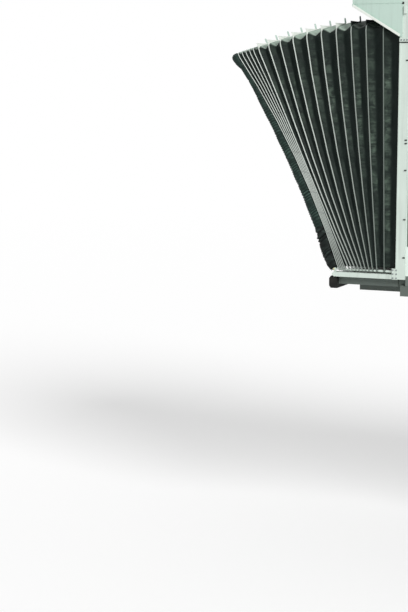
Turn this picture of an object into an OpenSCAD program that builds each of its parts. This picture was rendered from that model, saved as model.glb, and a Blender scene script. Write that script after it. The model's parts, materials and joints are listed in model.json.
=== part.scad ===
// Passenger boarding bridge: a rotunda on its column, a telescoping tunnel of two
// sections on a wheeled lift, a cab, and a pleated canopy that fans out to a doorway.
// The origin is the centre of the column's foot, on the ground. The cab faces -X.
// The side named left is on the left hand of someone who walks out to the cab (-Y).

/* [Levels] */
// Height of the floor in the cab and the outer tunnel
floor_z = 3740; // [3400:10:4100]
// Step from that floor up to the floor of the inner tunnel and the rotunda
floor_step = 160; // [150:5:220]
// Thickness of the cab and outer tunnel floor slab
slab_t = 120; // [90:5:150]
// Height of the beams below the floor slabs
underbeam_h = 170; // [120:5:220]

/* [Rotunda] */
// Outer radius of the rotunda
rotunda_r = 1750; // [1600:10:1900]
// Radius of the column under the rotunda
column_r = 380; // [300:5:450]
// Radius of the flange on the ground
flange_r = 700; // [640:5:760]
// Thickness of that flange
flange_t = 40; // [30:1:60]
// Number of anchor bolt holes
anchor_count = 12; // [8:1:16]
// Radius of the circle of anchor bolts
anchor_circle_r = 600; // [560:5:610]
// Radius of an anchor bolt hole
anchor_hole_r = 18; // [12:1:24]
// How far the collar reaches from the rotunda to the terminal wall
collar_reach = 550; // [300:10:700]

/* [Tunnel] */
// Length of one wall bay
bay = 1500; // [1400:10:1600]
// Number of bays of the inner tunnel
inner_bays = 3; // [2:1:3]
// Number of bays of the outer tunnel
outer_bays = 3; // [3:1:4]
// Length of the inner tunnel that stays in the outer tunnel
overlap = 600; // [400:10:900]
// Clear width of the inner tunnel
inner_w = 1600; // [1500:10:1700]
// Clear height of the inner tunnel
inner_h = 2150; // [2050:10:2250]
// Gap between the outside of the inner tunnel and the inside of the outer one
tunnel_gap = 50; // [40:2:70]
// Thickness of a wall with its ribs
wall_t = 70; // [60:1:90]
// Depth of the wall ribs
rib_d = 25; // [15:1:35]
// Distance from one wall rib to the next
rib_pitch = 250; // [200:10:300]
// Width of the post at each bay line
bay_post_w = 100; // [70:5:120]
// How far that post stands proud of the ribs
bay_post_d = 20; // [10:1:30]
// Thickness of a tunnel roof
roof_t = 100; // [80:5:120]
// Width of the service door
door_w = 850; // [750:10:950]
// Height of the service door
door_h = 2050; // [1950:10:2100]

/* [Lift and wheels] */
// Side of the sliding upper tube of a lift column
lift_tube = 320; // [280:5:360]
// Wall thickness of the lift tubes
lift_tube_t = 20; // [12:1:25]
// Length of the lower tube that stays in the upper one
tube_overlap = 2390; // [2000:10:2600]
// Radius of a drive wheel with its tyre
wheel_r = 500; // [440:5:540]
// Width of a drive wheel
wheel_w = 300; // [240:5:340]
// Distance from the centre line to the middle of a drive wheel
wheel_y = 560; // [500:5:640]

/* [Stair] */
// Length of the landing along the tunnel
landing_l = 1200; // [1000:10:1300]
// Width of the stair
stair_w = 800; // [700:10:900]
// Number of risers
risers = 20; // [19:1:22]
// Depth of one tread
going = 240; // [220:5:260]
// Height of the handrail above the treads
handrail_h = 1000; // [900:10:1100]

/* [Cab] */
// Radius of the round back of the cab, and half its width
cab_r = 1280; // [1250:10:1350]
// Distance from the middle of the round back to the front of the portal
cab_len = 1500; // [1400:10:1700]
// Height of the cab walls
cab_h = 2810; // [2700:10:2900]
// Half the outer width of the portal
portal_half = 1600; // [1560:10:1680]
// Width of a portal post, seen from the side
post_w = 110; // [90:5:130]
// Thickness of a portal post, seen from the front
post_t = 120; // [100:5:140]
// Height of the portal above the underside of its foot
portal_h = 3400; // [3360:10:3500]
// Height of the cab windows
window_h = 1330; // [1100:10:1500]
// Height of the window sill above the floor
sill_h = 390; // [350:10:600]
// How far the hood stands out over the canopy
hood_reach = 588; // [500:2:650]
// How far the floor runs out in front of the portal
platform_reach = 757; // [740:1:790]
// Thickness of the bumper, front to back
bumper_t = 106; // [80:2:130]
// Height of the bumper
bumper_h = 150; // [120:5:180]

/* [Canopy] */
// Height of a bow's side above its pivot
bow_side = 2970; // [2900:10:3000]
// Rise of a bow's top from its corners to the middle
bow_rise = 130; // [80:5:140]
// Radius of a bow's corners
bow_corner_r = 90; // [60:5:120]
// Depth of the bow's bar, across the canopy
bow_depth = 40; // [30:1:50]
// Thickness of the bar of a spread bow
bow_t = 12; // [8:1:14]
// Thickness of the bar of a bow in the front pack
pack_t = 9; // [6:1:10]
// Lean of the rearmost bow
first_lean = 1.2; // [0:0.1:3]
// Lean of the last spread bow
spread_lean = 24.3; // [22:0.1:25]
// Lean of the lead bow
lead_lean = 27.4; // [27:0.1:30]
// How far the spread bows curve forward at mid height
spread_curve = 85; // [40:1:90]
// How far the lead bow curves back at mid height
lead_curve = 110; // [60:1:120]
// Distance from the portal to the first bow pivot
first_foot = 150; // [130:1:170]
// Distance from one bow pivot to the next
foot_pitch = 43; // [42:0.5:44]
// Extra room between the rearmost pivots
foot_slack = 62; // [40:1:70]
// Distance from one pivot to the next in the front pack
pack_pitch = 22; // [22:0.5:23]
// Thickness of the canopy fabric
fabric_t = 4; // [3:0.5:5]
// Depth of a pleat as a share of the distance between its bows
pleat_share = 0.5; // [0.3:0.05:0.6]
// Height of the rail under the bow feet
rail_h = 55; // [45:1:70]
// Width of that rail, across the canopy
rail_w = 100; // [80:5:120]
// Radius of the rod that carries the bow feet
rod_r = 8; // [6:0.5:8]
// Thickness of the soft pad on the lead bow, at the top
pad_top_t = 72; // [50:1:90]
// Thickness of that pad at the foot
pad_foot_t = 108; // [90:1:120]
// Width of that pad, across the canopy
pad_w = 130; // [110:5:150]

/* [Hidden] */
$fn = 48;
seat_gap = 0.3;
run_gap = 10;
cut = 20;
paint_white = "#dfe4dc";
paint_grey = "#9aa19b";
dark_steel = "#4b5150";
rubber_black = "#1c1e1d";
fabric_dark = "#2c3b37";
alu_grey = "#a9b0ab";

// Levels that the rooms share
inner_floor_z = floor_z + floor_step;
inner_slab_t = floor_step - tunnel_gap;
inner_ceiling = inner_floor_z + inner_h;
inner_top = inner_ceiling + roof_t;
outer_ceiling = inner_top + tunnel_gap;
outer_top = outer_ceiling + roof_t;
beam_z = floor_z - slab_t - underbeam_h;

// Half widths that the rooms share
inner_half = inner_w / 2;
inner_out = inner_half + wall_t;
outer_half = inner_out + bay_post_d + tunnel_gap;
outer_out = outer_half + wall_t;

// Places along the bridge
function mouth(r, y) = sqrt(r * r - y * y);
inner_x0 = -mouth(rotunda_r, inner_out);
inner_x1 = inner_x0 - inner_bays * bay;
outer_x0 = inner_x1 + overlap;
outer_x1 = outer_x0 - outer_bays * bay;
cab_x = outer_x1 - mouth(cab_r, outer_out);
front_x = cab_x - cab_len;
lift_x = outer_x0 - bay * 1.5;
door_x = outer_x1 + bay / 2;

// Rotunda and collar
curtain_t = 60;
rotunda_slab_t = 160;
ring_z = inner_top + run_gap;
rotunda_top = ring_z + 90;
rotunda_roof_lip = 100;
collar_half = 900;
head_z = inner_floor_z - rotunda_slab_t;

// Lift and wheels
lift_gap = 20;
lift_y = outer_out + bay_post_d + lift_gap + lift_tube / 2;
lift_beam_h = 300;
lift_top = outer_top + 320;
lower_tube = lift_tube - 2 * lift_tube_t - 2 * run_gap;
lower_top = beam_z - lift_beam_h + tube_overlap;
carriage_h = 300;
carriage_z = 2 * wheel_r + 60;
axle_r = 60;
rim_r = wheel_r * 0.66;

// Stair
landing_w = stair_w + 520;
landing_t = 40;
landing_x0 = door_x - landing_l / 2;
landing_x1 = door_x + landing_l / 2;
landing_y1 = outer_out + seat_gap + landing_w;
stair_y0 = landing_y1 - stair_w;
stringer_t = 20;
stringer_d = 260;
tread_t = 30;
riser = floor_z / risers;
stair_wheel_r = 150;
bar = 40;

// Cab and portal
portal_z = floor_z - 40;
portal_top = portal_z + portal_h;
cab_wall_t = 60;
cab_top = floor_z + cab_h;
cab_roof_t = 130;
chamfer = portal_half - 40 - cab_r;
header_top = portal_top - 100;
hood_t = 10;
hood_plate_t = 12;
hood_foot = header_top - 403;
hood_lip = 53;

// Canopy
bow_count = 15;
spread_count = 10;
canopy_half = portal_half - 8;
bow_half = canopy_half - fabric_t - 0.5;
pivot_z = floor_z + 50;
rod_y = bow_half - bow_depth / 2;
eye_r = bow_depth / 2;
eye_bore_r = rod_r + 4.5;
fabric_foot = 45;
pad_foot = 110;
rail_reach = platform_reach + 63;
spacer_r = 14;
eye_room = 15.5;
end_plate_t = 12;
rail_z = pivot_z - 90;
rod_front = front_x - rail_reach + 35;
crest_lap = 1.5;
fan_skew = 0.93;
fan_linear = 0.7;
knots = 6;
corner_steps = 2;
corner_turn = 81;
top_steps = 3;

// A box from one corner to the opposite one
module slab(low, high) {
    translate(low)
        cube(high - low);
}

// The same thing on both sides of the bridge
module both_sides() {
    children();
    mirror([0, 1, 0])
        children();
}

// A profile drawn in Y and Z, run along X
module run_x(x0, x1) {
    translate([x0, 0, 0])
        rotate([90, 0, 90])
            linear_extrude(x1 - x0)
                children();
}

// A profile drawn in X and Z, run along Y
module run_y(y0, y1) {
    translate([0, y1, 0])
        rotate([90, 0, 0])
            linear_extrude(y1 - y0)
                children();
}

// Space kept clear for the round rooms
module rotunda_space() {
    translate([0, 0, -cut])
        cylinder(r = rotunda_r + seat_gap, h = rotunda_top * 2, $fn = 96);
}

module cab_space() {
    translate([cab_x, 0, -cut])
        cylinder(r = cab_r + seat_gap, h = rotunda_top * 2, $fn = 96);
}

// Outline of a ribbed wall: flat inside, trapezoid ribs outside
function ribbed(length, face) = concat(
    [[0, 0], [0, face - rib_d]],
    [for (i = [0 : floor(length / rib_pitch) - 1])
        each [[(i + 0.2) * rib_pitch, face - rib_d], [(i + 0.32) * rib_pitch, face],
            [(i + 0.68) * rib_pitch, face], [(i + 0.8) * rib_pitch, face - rib_d]]],
    [[length, face - rib_d], [length, 0]]);

module tunnel_wall(x0, x1, half, z0, z1, bays, bay_x0) {
    translate([x1, half, z0])
        linear_extrude(z1 - z0)
            polygon(ribbed(x0 - x1, wall_t));
    for (i = [0 : bays]) {
        line = bay_x0 - i * bay;
        edge = max(x1, min(x0 - bay_post_w, line - bay_post_w / 2));
        slab([edge, half, z0], [edge + bay_post_w, half + wall_t + bay_post_d, z1]);
    }
}

// Outline of a wall of flat upright slats that stand round an arc
function slats(r, from, to, count) = concat(
    [for (i = [0 : count - 1])
        each [for (s = [0.08, 0.3, 0.7, 0.92])
            let (a = from + (to - from) * (i + s) / count, q = (s > 0.2 && s < 0.8) ? r : r - 12)
                q * [cos(a), sin(a)]]],
    [for (i = [0 : count])
        let (a = to + (from - to) * i / count)
            (r - curtain_t) * [cos(a), sin(a)]]);

module base_column() {
    color(paint_grey)
        difference() {
            union() {
                cylinder(r = flange_r, h = flange_t);
                cylinder(r = column_r, h = head_z);
                translate([0, 0, head_z])
                    rotate_extrude()
                        polygon([[0, -480], [column_r, -480], [column_r * 1.9, -130],
                            [column_r * 2.3, -130], [column_r * 2.3, 0], [0, 0]]);
                for (i = [0 : anchor_count - 1])
                    rotate(360 * (i + 0.5) / anchor_count)
                        translate([column_r - cut, 0, flange_t])
                            rotate([90, 0, 0])
                                linear_extrude(20, center = true)
                                    polygon([[0, 0], [flange_r - column_r - cut, 0],
                                        [flange_r - column_r - cut, 40], [cut + 60, 420], [0, 420]]);
            }
            for (i = [0 : anchor_count - 1])
                rotate(360 * i / anchor_count)
                    translate([anchor_circle_r, 0, -cut])
                        cylinder(r = anchor_hole_r, h = flange_t + 2 * cut);
        }
}

module rotunda_floor() {
    color(paint_grey)
        translate([0, 0, head_z])
            rotate_extrude($fn = 96)
                polygon([[0, 0], [rotunda_r - 160, 0], [rotunda_r - 160, -80],
                    [rotunda_r, -80], [rotunda_r, rotunda_slab_t], [0, rotunda_slab_t]]);
}

module rotunda_curtains() {
    tunnel_side = asin(inner_out / rotunda_r) + 0.5;
    collar_side = asin((collar_half + wall_t) / rotunda_r) + 0.5;
    color(paint_white)
        both_sides()
            translate([0, 0, inner_floor_z])
                linear_extrude(ring_z - inner_floor_z)
                    polygon(slats(rotunda_r - 5, collar_side, 180 - tunnel_side, 22));
}

module rotunda_roof() {
    color(paint_white)
        rotate_extrude($fn = 96)
            polygon([[rotunda_r - curtain_t, ring_z], [rotunda_r, ring_z], [rotunda_r, rotunda_top],
                [rotunda_r + rotunda_roof_lip, rotunda_top],
                [rotunda_r + rotunda_roof_lip, rotunda_top + 60], [300, rotunda_top + 240],
                [0, rotunda_top + 240], [0, rotunda_top], [rotunda_r - curtain_t, rotunda_top]]);
}

module terminal_collar() {
    top = ring_z - run_gap;
    reach = rotunda_r + collar_reach;
    start = mouth(rotunda_r, collar_half + wall_t);
    color(paint_white)
        difference() {
            union() {
                run_x(start, reach)
                    polygon([[-collar_half - wall_t, head_z], [collar_half + wall_t, head_z],
                        [collar_half + wall_t, top], [-collar_half - wall_t, top]]);
                run_x(reach - 80, reach)
                    polygon([[-collar_half - wall_t - 60, head_z - 60],
                        [collar_half + wall_t + 60, head_z - 60],
                        [collar_half + wall_t + 60, top + 60], [-collar_half - wall_t - 60, top + 60]]);
            }
            slab([start - cut, -collar_half, inner_floor_z], [reach + cut, collar_half, inner_ceiling]);
            rotunda_space();
        }
}

module inner_tunnel_floor() {
    ramp_l = 700;
    shoe = inner_half - 60;
    color(paint_grey)
        difference() {
            union() {
                slab([inner_x1, -inner_out, inner_floor_z - inner_slab_t],
                    [inner_x0 + cut, inner_out, inner_floor_z]);
                for (side = [-1, 1])
                    slab([inner_x1, side * shoe - 40, floor_z],
                        [inner_x1 + overlap, side * shoe + 40, inner_floor_z - inner_slab_t]);
                run_y(-inner_half, inner_half)
                    polygon([[inner_x1 + cut, floor_z], [inner_x1 + cut, inner_floor_z],
                        [inner_x1, inner_floor_z], [inner_x1 - ramp_l, floor_z + 6],
                        [inner_x1 - ramp_l, floor_z]]);
            }
            rotunda_space();
        }
}

module inner_tunnel_walls() {
    color(paint_white)
        difference() {
            both_sides()
                tunnel_wall(inner_x0, inner_x1, inner_half, inner_floor_z, inner_ceiling,
                    inner_bays, inner_x0);
            rotunda_space();
        }
}

module inner_tunnel_roof() {
    color(paint_white)
        difference() {
            run_x(inner_x1, inner_x0 + cut)
                polygon([[-inner_out, inner_ceiling], [inner_out, inner_ceiling],
                    [inner_out, inner_top - 30], [0, inner_top], [-inner_out, inner_top - 30]]);
            rotunda_space();
        }
}

module outer_tunnel_floor() {
    edge = outer_out - 150;
    color(paint_grey)
        difference() {
            run_x(outer_x1, outer_x0)
                polygon([[-outer_out, floor_z], [-outer_out, beam_z], [-edge, beam_z],
                    [-edge, beam_z + 20], [-outer_out + 20, beam_z + 20],
                    [-outer_out + 20, floor_z - slab_t], [outer_out - 20, floor_z - slab_t],
                    [outer_out - 20, beam_z + 20], [edge, beam_z + 20], [edge, beam_z],
                    [outer_out, beam_z], [outer_out, floor_z]]);
            cab_space();
        }
}

module outer_tunnel_walls() {
    color(paint_white)
        difference() {
            both_sides()
                tunnel_wall(outer_x0, outer_x1, outer_half, floor_z, outer_ceiling,
                    outer_bays, outer_x0);
            slab([door_x - door_w / 2, outer_half - cut, floor_z - cut],
                [door_x + door_w / 2, outer_out + bay_post_d + cut, floor_z + door_h]);
            cab_space();
        }
}

module outer_tunnel_roof() {
    color(paint_white)
        difference() {
            run_x(outer_x1, outer_x0)
                polygon([[-outer_out - 30, outer_ceiling], [outer_out + 30, outer_ceiling],
                    [outer_out + 30, outer_top - 40], [0, outer_top], [-outer_out - 30, outer_top - 40]]);
            cab_space();
        }
}

// Frame that closes the gap round the inner tunnel at the rear of the outer one
module tunnel_collar() {
    hole = inner_out + bay_post_d + 12;
    frame_out = outer_out + 60;
    color(paint_white)
        translate([outer_x0, 0, 0])
            run_x(0, 90)
                difference() {
                    polygon([[-frame_out, beam_z], [frame_out, beam_z],
                        [frame_out, outer_top + 40], [-frame_out, outer_top + 40]]);
                    polygon([[-hole, inner_floor_z - inner_slab_t - 12],
                        [hole, inner_floor_z - inner_slab_t - 12],
                        [hole, inner_top + 12], [-hole, inner_top + 12]]);
                }
}

module service_door() {
    leaf_t = 45;
    color(paint_grey)
        difference() {
            union() {
                slab([door_x - door_w / 2 + seat_gap, outer_half + 10, floor_z + seat_gap],
                    [door_x + door_w / 2 - seat_gap, outer_half + 10 + leaf_t,
                        floor_z + door_h - seat_gap]);
                slab([door_x - door_w / 2 + 60, outer_half + 10 + leaf_t, floor_z + 1000],
                    [door_x - door_w / 2 + 90, outer_half + 50 + leaf_t, floor_z + 1150]);
            }
            slab([door_x - 150, outer_half - cut, floor_z + 1250],
                [door_x + 150, outer_half + cut + leaf_t + 10, floor_z + 1800]);
        }
}

module lift_frame() {
    beam_top = beam_z;
    color(paint_white) {
        difference() {
            union() {
                both_sides()
                    slab([lift_x - lift_tube / 2, lift_y - lift_tube / 2, beam_top - lift_beam_h],
                        [lift_x + lift_tube / 2, lift_y + lift_tube / 2, lift_top]);
                slab([lift_x - 150, -lift_y, beam_top - lift_beam_h], [lift_x + 150, lift_y, beam_top]);
            }
            both_sides()
                slab([lift_x - lift_tube / 2 + lift_tube_t, lift_y - lift_tube / 2 + lift_tube_t,
                        beam_top - lift_beam_h - cut],
                    [lift_x + lift_tube / 2 - lift_tube_t, lift_y + lift_tube / 2 - lift_tube_t,
                        lift_top - lift_tube_t]);
        }
        both_sides()
            translate([lift_x, lift_y, lower_top])
                cylinder(r = 45, h = lift_top - lower_top - lift_tube_t / 2);
    }
}

module lift_lower_tubes() {
    color(alu_grey)
        both_sides()
            slab([lift_x - lower_tube / 2, lift_y - lower_tube / 2, carriage_z + carriage_h],
                [lift_x + lower_tube / 2, lift_y + lower_tube / 2, lower_top]);
}

module wheel_carriage() {
    half = lift_y + lift_tube / 2;
    color(paint_grey)
        union() {
            run_y(-half, half)
                polygon([[lift_x - 200, carriage_z], [lift_x + 200, carriage_z],
                    [lift_x + 200, carriage_z + carriage_h], [lift_x - 200, carriage_z + carriage_h]]);
            translate([lift_x, 0, carriage_z - 80])
                cylinder(r = 330, h = 90);
            translate([lift_x, 0, 0])
                run_y(-300, 300)
                    polygon([[-330, carriage_z - 80], [-200, wheel_r - 150], [200, wheel_r - 150],
                        [330, carriage_z - 80]]);
            translate([lift_x, 0, wheel_r])
                rotate([90, 0, 0])
                    cylinder(r = axle_r, h = 2 * wheel_y + wheel_w + 60, center = true);
        }
}

module wheel_rims() {
    color(paint_grey)
        both_sides()
            translate([lift_x, wheel_y, wheel_r])
                rotate([90, 0, 0])
                    rotate_extrude()
                        polygon([[axle_r + seat_gap, -110], [130, -110], [150, -30], [rim_r - 40, -30],
                            [rim_r - 40, -wheel_w / 2], [rim_r, -wheel_w / 2], [rim_r, wheel_w / 2],
                            [rim_r - 40, wheel_w / 2], [rim_r - 40, 30], [150, 30], [130, 110],
                            [axle_r + seat_gap, 110]]);
}

module tyres() {
    shoulder = 40;
    color(rubber_black)
        both_sides()
            translate([lift_x, wheel_y, wheel_r])
                rotate([90, 0, 0])
                    rotate_extrude($fn = 96)
                        polygon([[rim_r + seat_gap, -wheel_w / 2 + 15], [wheel_r - 60, -wheel_w / 2],
                            [wheel_r, -wheel_w / 2 + shoulder], [wheel_r, wheel_w / 2 - shoulder],
                            [wheel_r - 60, wheel_w / 2], [rim_r + seat_gap, wheel_w / 2 - 15]]);
}

module stair_landing() {
    color(dark_steel)
        union() {
            slab([landing_x0, outer_out + seat_gap, floor_z - landing_t],
                [landing_x1, landing_y1 + stringer_t, floor_z]);
            for (x = [landing_x0 + 40, landing_x1 - 100])
                translate([x, 0, 0])
                    run_x(0, 60)
                        polygon([[outer_out + seat_gap, floor_z - landing_t],
                            [landing_y1, floor_z - landing_t], [landing_y1, floor_z - landing_t - 60],
                            [outer_out + seat_gap, beam_z + 10]]);
        }
}

// The stair falls from the landing towards the terminal
function stair_x(step) = landing_x1 + step * going;
function stair_z(step) = floor_z - step * riser;
stair_foot_x = stair_x(risers - 0.6);

module stair_stringers() {
    color(dark_steel)
        for (y = [stair_y0 - stringer_t, landing_y1])
            run_y(y, y + stringer_t)
                polygon([[stair_x(0) + seat_gap, floor_z - 5],
                    [stair_x(0) + seat_gap, floor_z - stringer_d],
                    [stair_foot_x - 130, stair_wheel_r - 60], [stair_foot_x + 70, stair_wheel_r - 60],
                    [stair_foot_x + 70, stair_wheel_r + 90], [stair_x(0) + 60, floor_z - 5]]);
}

module stair_treads() {
    color(paint_grey)
        for (i = [1 : risers - 2])
            slab([stair_x(i - 1) + 10, stair_y0 + seat_gap, stair_z(i) - tread_t],
                [stair_x(i) + 10, landing_y1 - seat_gap, stair_z(i)]);
}

// Posts and two rails along the flight
module flight_rail(y) {
    slope = atan(riser / going);
    length = (risers - 2) * going / cos(slope);
    for (i = [0 : 4]) {
        step = 0.6 + i * (risers - 2.2) / 4;
        slab([stair_x(step) - bar / 2, y, stair_z(step) - stringer_d / 2],
            [stair_x(step) + bar / 2, y + bar, stair_z(step) + handrail_h]);
    }
    for (h = [handrail_h / 2, handrail_h])
        translate([stair_x(0.4), y, stair_z(0.4) + h - bar / 2])
            rotate([0, slope, 0])
                cube([length, bar, bar]);
}

// Posts and two rails along one side of the landing
module landing_rail(from, to) {
    along = to - from;
    for (i = [0 : 2])
        translate(from + along * i / 2 - [bar / 2, bar / 2, landing_t])
            cube([bar, bar, handrail_h + landing_t]);
    for (h = [handrail_h / 2, handrail_h])
        translate(from + [-bar / 2, -bar / 2, h - bar / 2])
            cube([abs(along[0]) + bar, abs(along[1]) + bar, bar]);
}

module stair_handrails() {
    outer_y = landing_y1 + stringer_t;
    color("#c8a23a") {
        flight_rail(stair_y0 - stringer_t - bar - seat_gap);
        flight_rail(outer_y + seat_gap);
        translate([0, bar / 2 + seat_gap, 0])
            landing_rail([landing_x0 + bar, outer_y, floor_z], [landing_x1 - bar, outer_y, floor_z]);
        translate([-bar / 2 - seat_gap, 0, 0])
            landing_rail([landing_x0, outer_out + 120, floor_z], [landing_x0, outer_y - 120, floor_z]);
    }
}

module stair_wheels() {
    wheel_t = 70;
    color(rubber_black)
        for (y = [stair_y0 + seat_gap, landing_y1 - seat_gap - wheel_t])
            translate([stair_foot_x, y, stair_wheel_r])
                rotate([-90, 0, 0])
                    cylinder(r = stair_wheel_r, h = wheel_t);
}

// Plan of the cab: chamfered behind the portal, straight sides, round at the back
module cab_plan(grow = 0) {
    half = cab_r + grow;
    intersection() {
        translate([cab_x, 0])
            circle(r = half, $fn = 96);
        translate([cab_x, -half])
            square([half, 2 * half]);
    }
    polygon([[front_x + post_w, portal_half - 40 + grow], [front_x + post_w + chamfer, half],
        [cab_x, half], [cab_x, -half], [front_x + post_w + chamfer, -half],
        [front_x + post_w, -portal_half + 40 - grow]]);
}

module cab_floor() {
    beam_half = cab_r * 0.6;
    color(paint_grey)
        union() {
            translate([0, 0, floor_z - slab_t])
                linear_extrude(slab_t)
                    cab_plan();
            slab([front_x - platform_reach, -portal_half + rail_w, floor_z - 140],
                [front_x, portal_half - rail_w, floor_z]);
            slab([front_x - cut, -portal_half + post_t, floor_z - 140],
                [front_x + post_w + cut, portal_half - post_t, floor_z]);
            for (side = [-1, 1])
                slab([front_x - platform_reach + 60, side * beam_half - 80, beam_z],
                    [cab_x + cab_r * 0.6, side * beam_half + 80, floor_z - slab_t]);
            slab([front_x + 40, -portal_half + 60, beam_z + 40],
                [front_x + 200, portal_half - 60, floor_z - slab_t]);
        }
}

// One side of the cab: the chamfered corner and the straight wall, each with a window
module cab_wall() {
    back = (cab_wall_t) * sqrt(2);
    outer_y = portal_half - 40;
    wall_x = front_x + post_w;
    difference() {
        translate([0, 0, floor_z])
            linear_extrude(cab_h)
                polygon([[wall_x, outer_y], [wall_x + chamfer, cab_r], [cab_x, cab_r],
                    [cab_x, cab_r - cab_wall_t], [wall_x + chamfer + cab_wall_t - back, cab_r - cab_wall_t],
                    [wall_x, outer_y - back]]);
        side_window(cut);
        corner_window(cut);
    }
}

module side_window(proud) {
    length = cab_x - front_x - post_w - chamfer;
    slab([front_x + post_w + chamfer + 140, cab_r - cab_wall_t - proud, floor_z + sill_h],
        [front_x + post_w + chamfer + length - 140, cab_r + proud, floor_z + sill_h + window_h]);
}

module corner_window(proud) {
    width = chamfer * sqrt(2) - 90;
    translate([front_x + post_w + chamfer / 2, cab_r + chamfer / 2, floor_z + sill_h])
        rotate(-45)
            translate([-width / 2, -cab_wall_t - proud, 0])
                cube([width, cab_wall_t + 2 * proud, window_h]);
}

module cab_walls() {
    color(paint_white)
        both_sides()
            cab_wall();
}

module cab_glass() {
    inset = cab_wall_t / 2 - 4;
    color("#5d7f86", 0.5) {
        both_sides() {
            side_window(-inset);
            corner_window(-inset);
        }
        slab([door_x - 150, outer_half + 28, floor_z + 1250],
            [door_x + 150, outer_half + 36, floor_z + 1800]);
    }
}

module cab_curtains() {
    mouth_side = asin(outer_out / cab_r) + 0.4;
    color(paint_white)
        both_sides()
            translate([cab_x, 0, floor_z])
                linear_extrude(outer_ceiling - floor_z)
                    polygon(slats(cab_r - 5, mouth_side, 90, 8));
}

module cab_roof() {
    color(paint_white) {
        translate([0, 0, cab_top])
            linear_extrude(cab_roof_t)
                cab_plan(30);
        translate([cab_x, 0, outer_ceiling])
            linear_extrude(cab_top - outer_ceiling)
                difference() {
                    circle(r = cab_r, $fn = 96);
                    circle(r = cab_r - cab_wall_t, $fn = 96);
                    translate([-2 * cab_r, -2 * cab_r])
                        square([2 * cab_r, 4 * cab_r]);
                }
    }
}

module portal_posts() {
    color(paint_white)
        both_sides()
            slab([front_x, portal_half - post_t, portal_z], [front_x + post_w, portal_half, portal_top]);
}

module portal_header() {
    color(paint_white)
        slab([front_x, -portal_half + post_t, cab_top], [front_x + post_w, portal_half - post_t, header_top]);
}

module canopy_hood() {
    edge_t = 20;
    edge_h = 30;
    tip_z = header_top + hood_t - hood_lip;
    color(paint_white) {
        slab([front_x - hood_reach, -portal_half - hood_plate_t, header_top],
            [front_x, portal_half + hood_plate_t, header_top + hood_t]);
        slab([front_x - cut, -portal_half + post_t, header_top],
            [front_x + post_w, portal_half - post_t, header_top + hood_t]);
        slab([front_x - hood_reach, -portal_half - hood_plate_t, tip_z],
            [front_x - hood_reach + hood_plate_t, portal_half + hood_plate_t, header_top + hood_t]);
        both_sides() {
            run_y(portal_half, portal_half + hood_plate_t)
                polygon([[front_x - hood_reach, tip_z], [front_x, hood_foot], [front_x + 30, hood_foot],
                    [front_x + 30, header_top + hood_t], [front_x - hood_reach, header_top + hood_t]]);
            run_y(portal_half, portal_half + hood_plate_t + edge_t)
                polygon([[front_x - hood_reach, tip_z], [front_x, hood_foot], [front_x, hood_foot + edge_h],
                    [front_x - hood_reach, tip_z + edge_h]]);
        }
    }
}

module canopy_rails() {
    color(paint_white)
        both_sides()
            difference() {
                union() {
                    run_y(portal_half - rail_w, portal_half)
                        polygon([[front_x - seat_gap, rail_z], [front_x - rail_reach + 30, rail_z],
                            [front_x - rail_reach, rail_z + rail_h * 0.45],
                            [front_x - rail_reach + 20, rail_z + rail_h],
                            [front_x - seat_gap, rail_z + rail_h]]);
                    slab([front_x - end_plate_t - seat_gap, portal_half - rail_w, rail_z],
                        [front_x - seat_gap, portal_half, pivot_z + 36]);
                    slab([rod_front, rod_y - 16, rail_z], [rod_front + end_plate_t, rod_y + 16, pivot_z + 18]);
                }
                translate([rod_front - cut, rod_y, pivot_z])
                    rotate([0, 90, 0])
                        cylinder(r = rod_r + seat_gap, h = end_plate_t + 2 * cut);
            }
}

// Rods through the bow feet, with a knob at the front and sleeves between the feet
module foot_rods() {
    back = front_x - end_plate_t - 2 * seat_gap;
    color(paint_white)
        both_sides()
            translate([0, rod_y, pivot_z]) {
                translate([rod_front - seat_gap, 0, 0])
                    rotate([0, 90, 0])
                        cylinder(r = rod_r, h = back - rod_front + seat_gap);
                translate([rod_front - seat_gap - 22, 0, 0])
                    rotate([0, 90, 0])
                        rotate_extrude()
                            polygon([[0, 0], [10, 0], [17, 6], [17, 16], [11, 22], [0, 22]]);
                for (k = [1 : spread_count])
                    sleeve(foot(k - 1) + (k == 1 ? end_plate_t + 4 : eye_room), foot(k) - eye_room);
            }
}

module sleeve(from, to) {
    translate([front_x - to, 0, 0])
        rotate([0, 90, 0])
            cylinder(r = spacer_r, h = to - from);
}

module bumper() {
    color(rubber_black)
        run_y(-portal_half + 40, portal_half - 40)
            translate([front_x - platform_reach - seat_gap, pivot_z - 90 - bumper_h])
                polygon([[0, 0], [0, bumper_h - seat_gap], [-bumper_t * 0.8, bumper_h - seat_gap],
                    [-bumper_t, bumper_h * 0.8], [-bumper_t, bumper_h * 0.2], [-bumper_t * 0.8, 0]]);
}

// The bows are numbered from the portal forward, and 0 is the portal itself
function foot(k) = k == 0 ? 0 :
    k <= spread_count ? first_foot + foot_pitch * (k - 1) + foot_slack * (1 - pow(0.2, k - 1)) :
    foot(spread_count) + foot_pitch + pack_pitch * (k - spread_count - 1);
function ease(u) = fan_linear * u + (1 - fan_linear) * (3 * u * u - 2 * u * u * u);
function lean(k) = k == 0 ? 0 :
    k <= spread_count ?
        first_lean + (spread_lean - first_lean) * ease(pow((k - 1) / (spread_count - 1), fan_skew)) :
    spread_lean + (lead_lean - spread_lean) * (k - spread_count) / (bow_count - spread_count);
function curve(k) = k == 0 ? 0 :
    k <= spread_count ? spread_curve * sin(180 * pow((k - 1) / (spread_count - 1), 1.3)) :
    -lead_curve * (k - spread_count + 1) / (bow_count - spread_count + 1);
function bar_t(k) = k == 0 ? 0 : k <= spread_count ? bow_t : pack_t;
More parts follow.
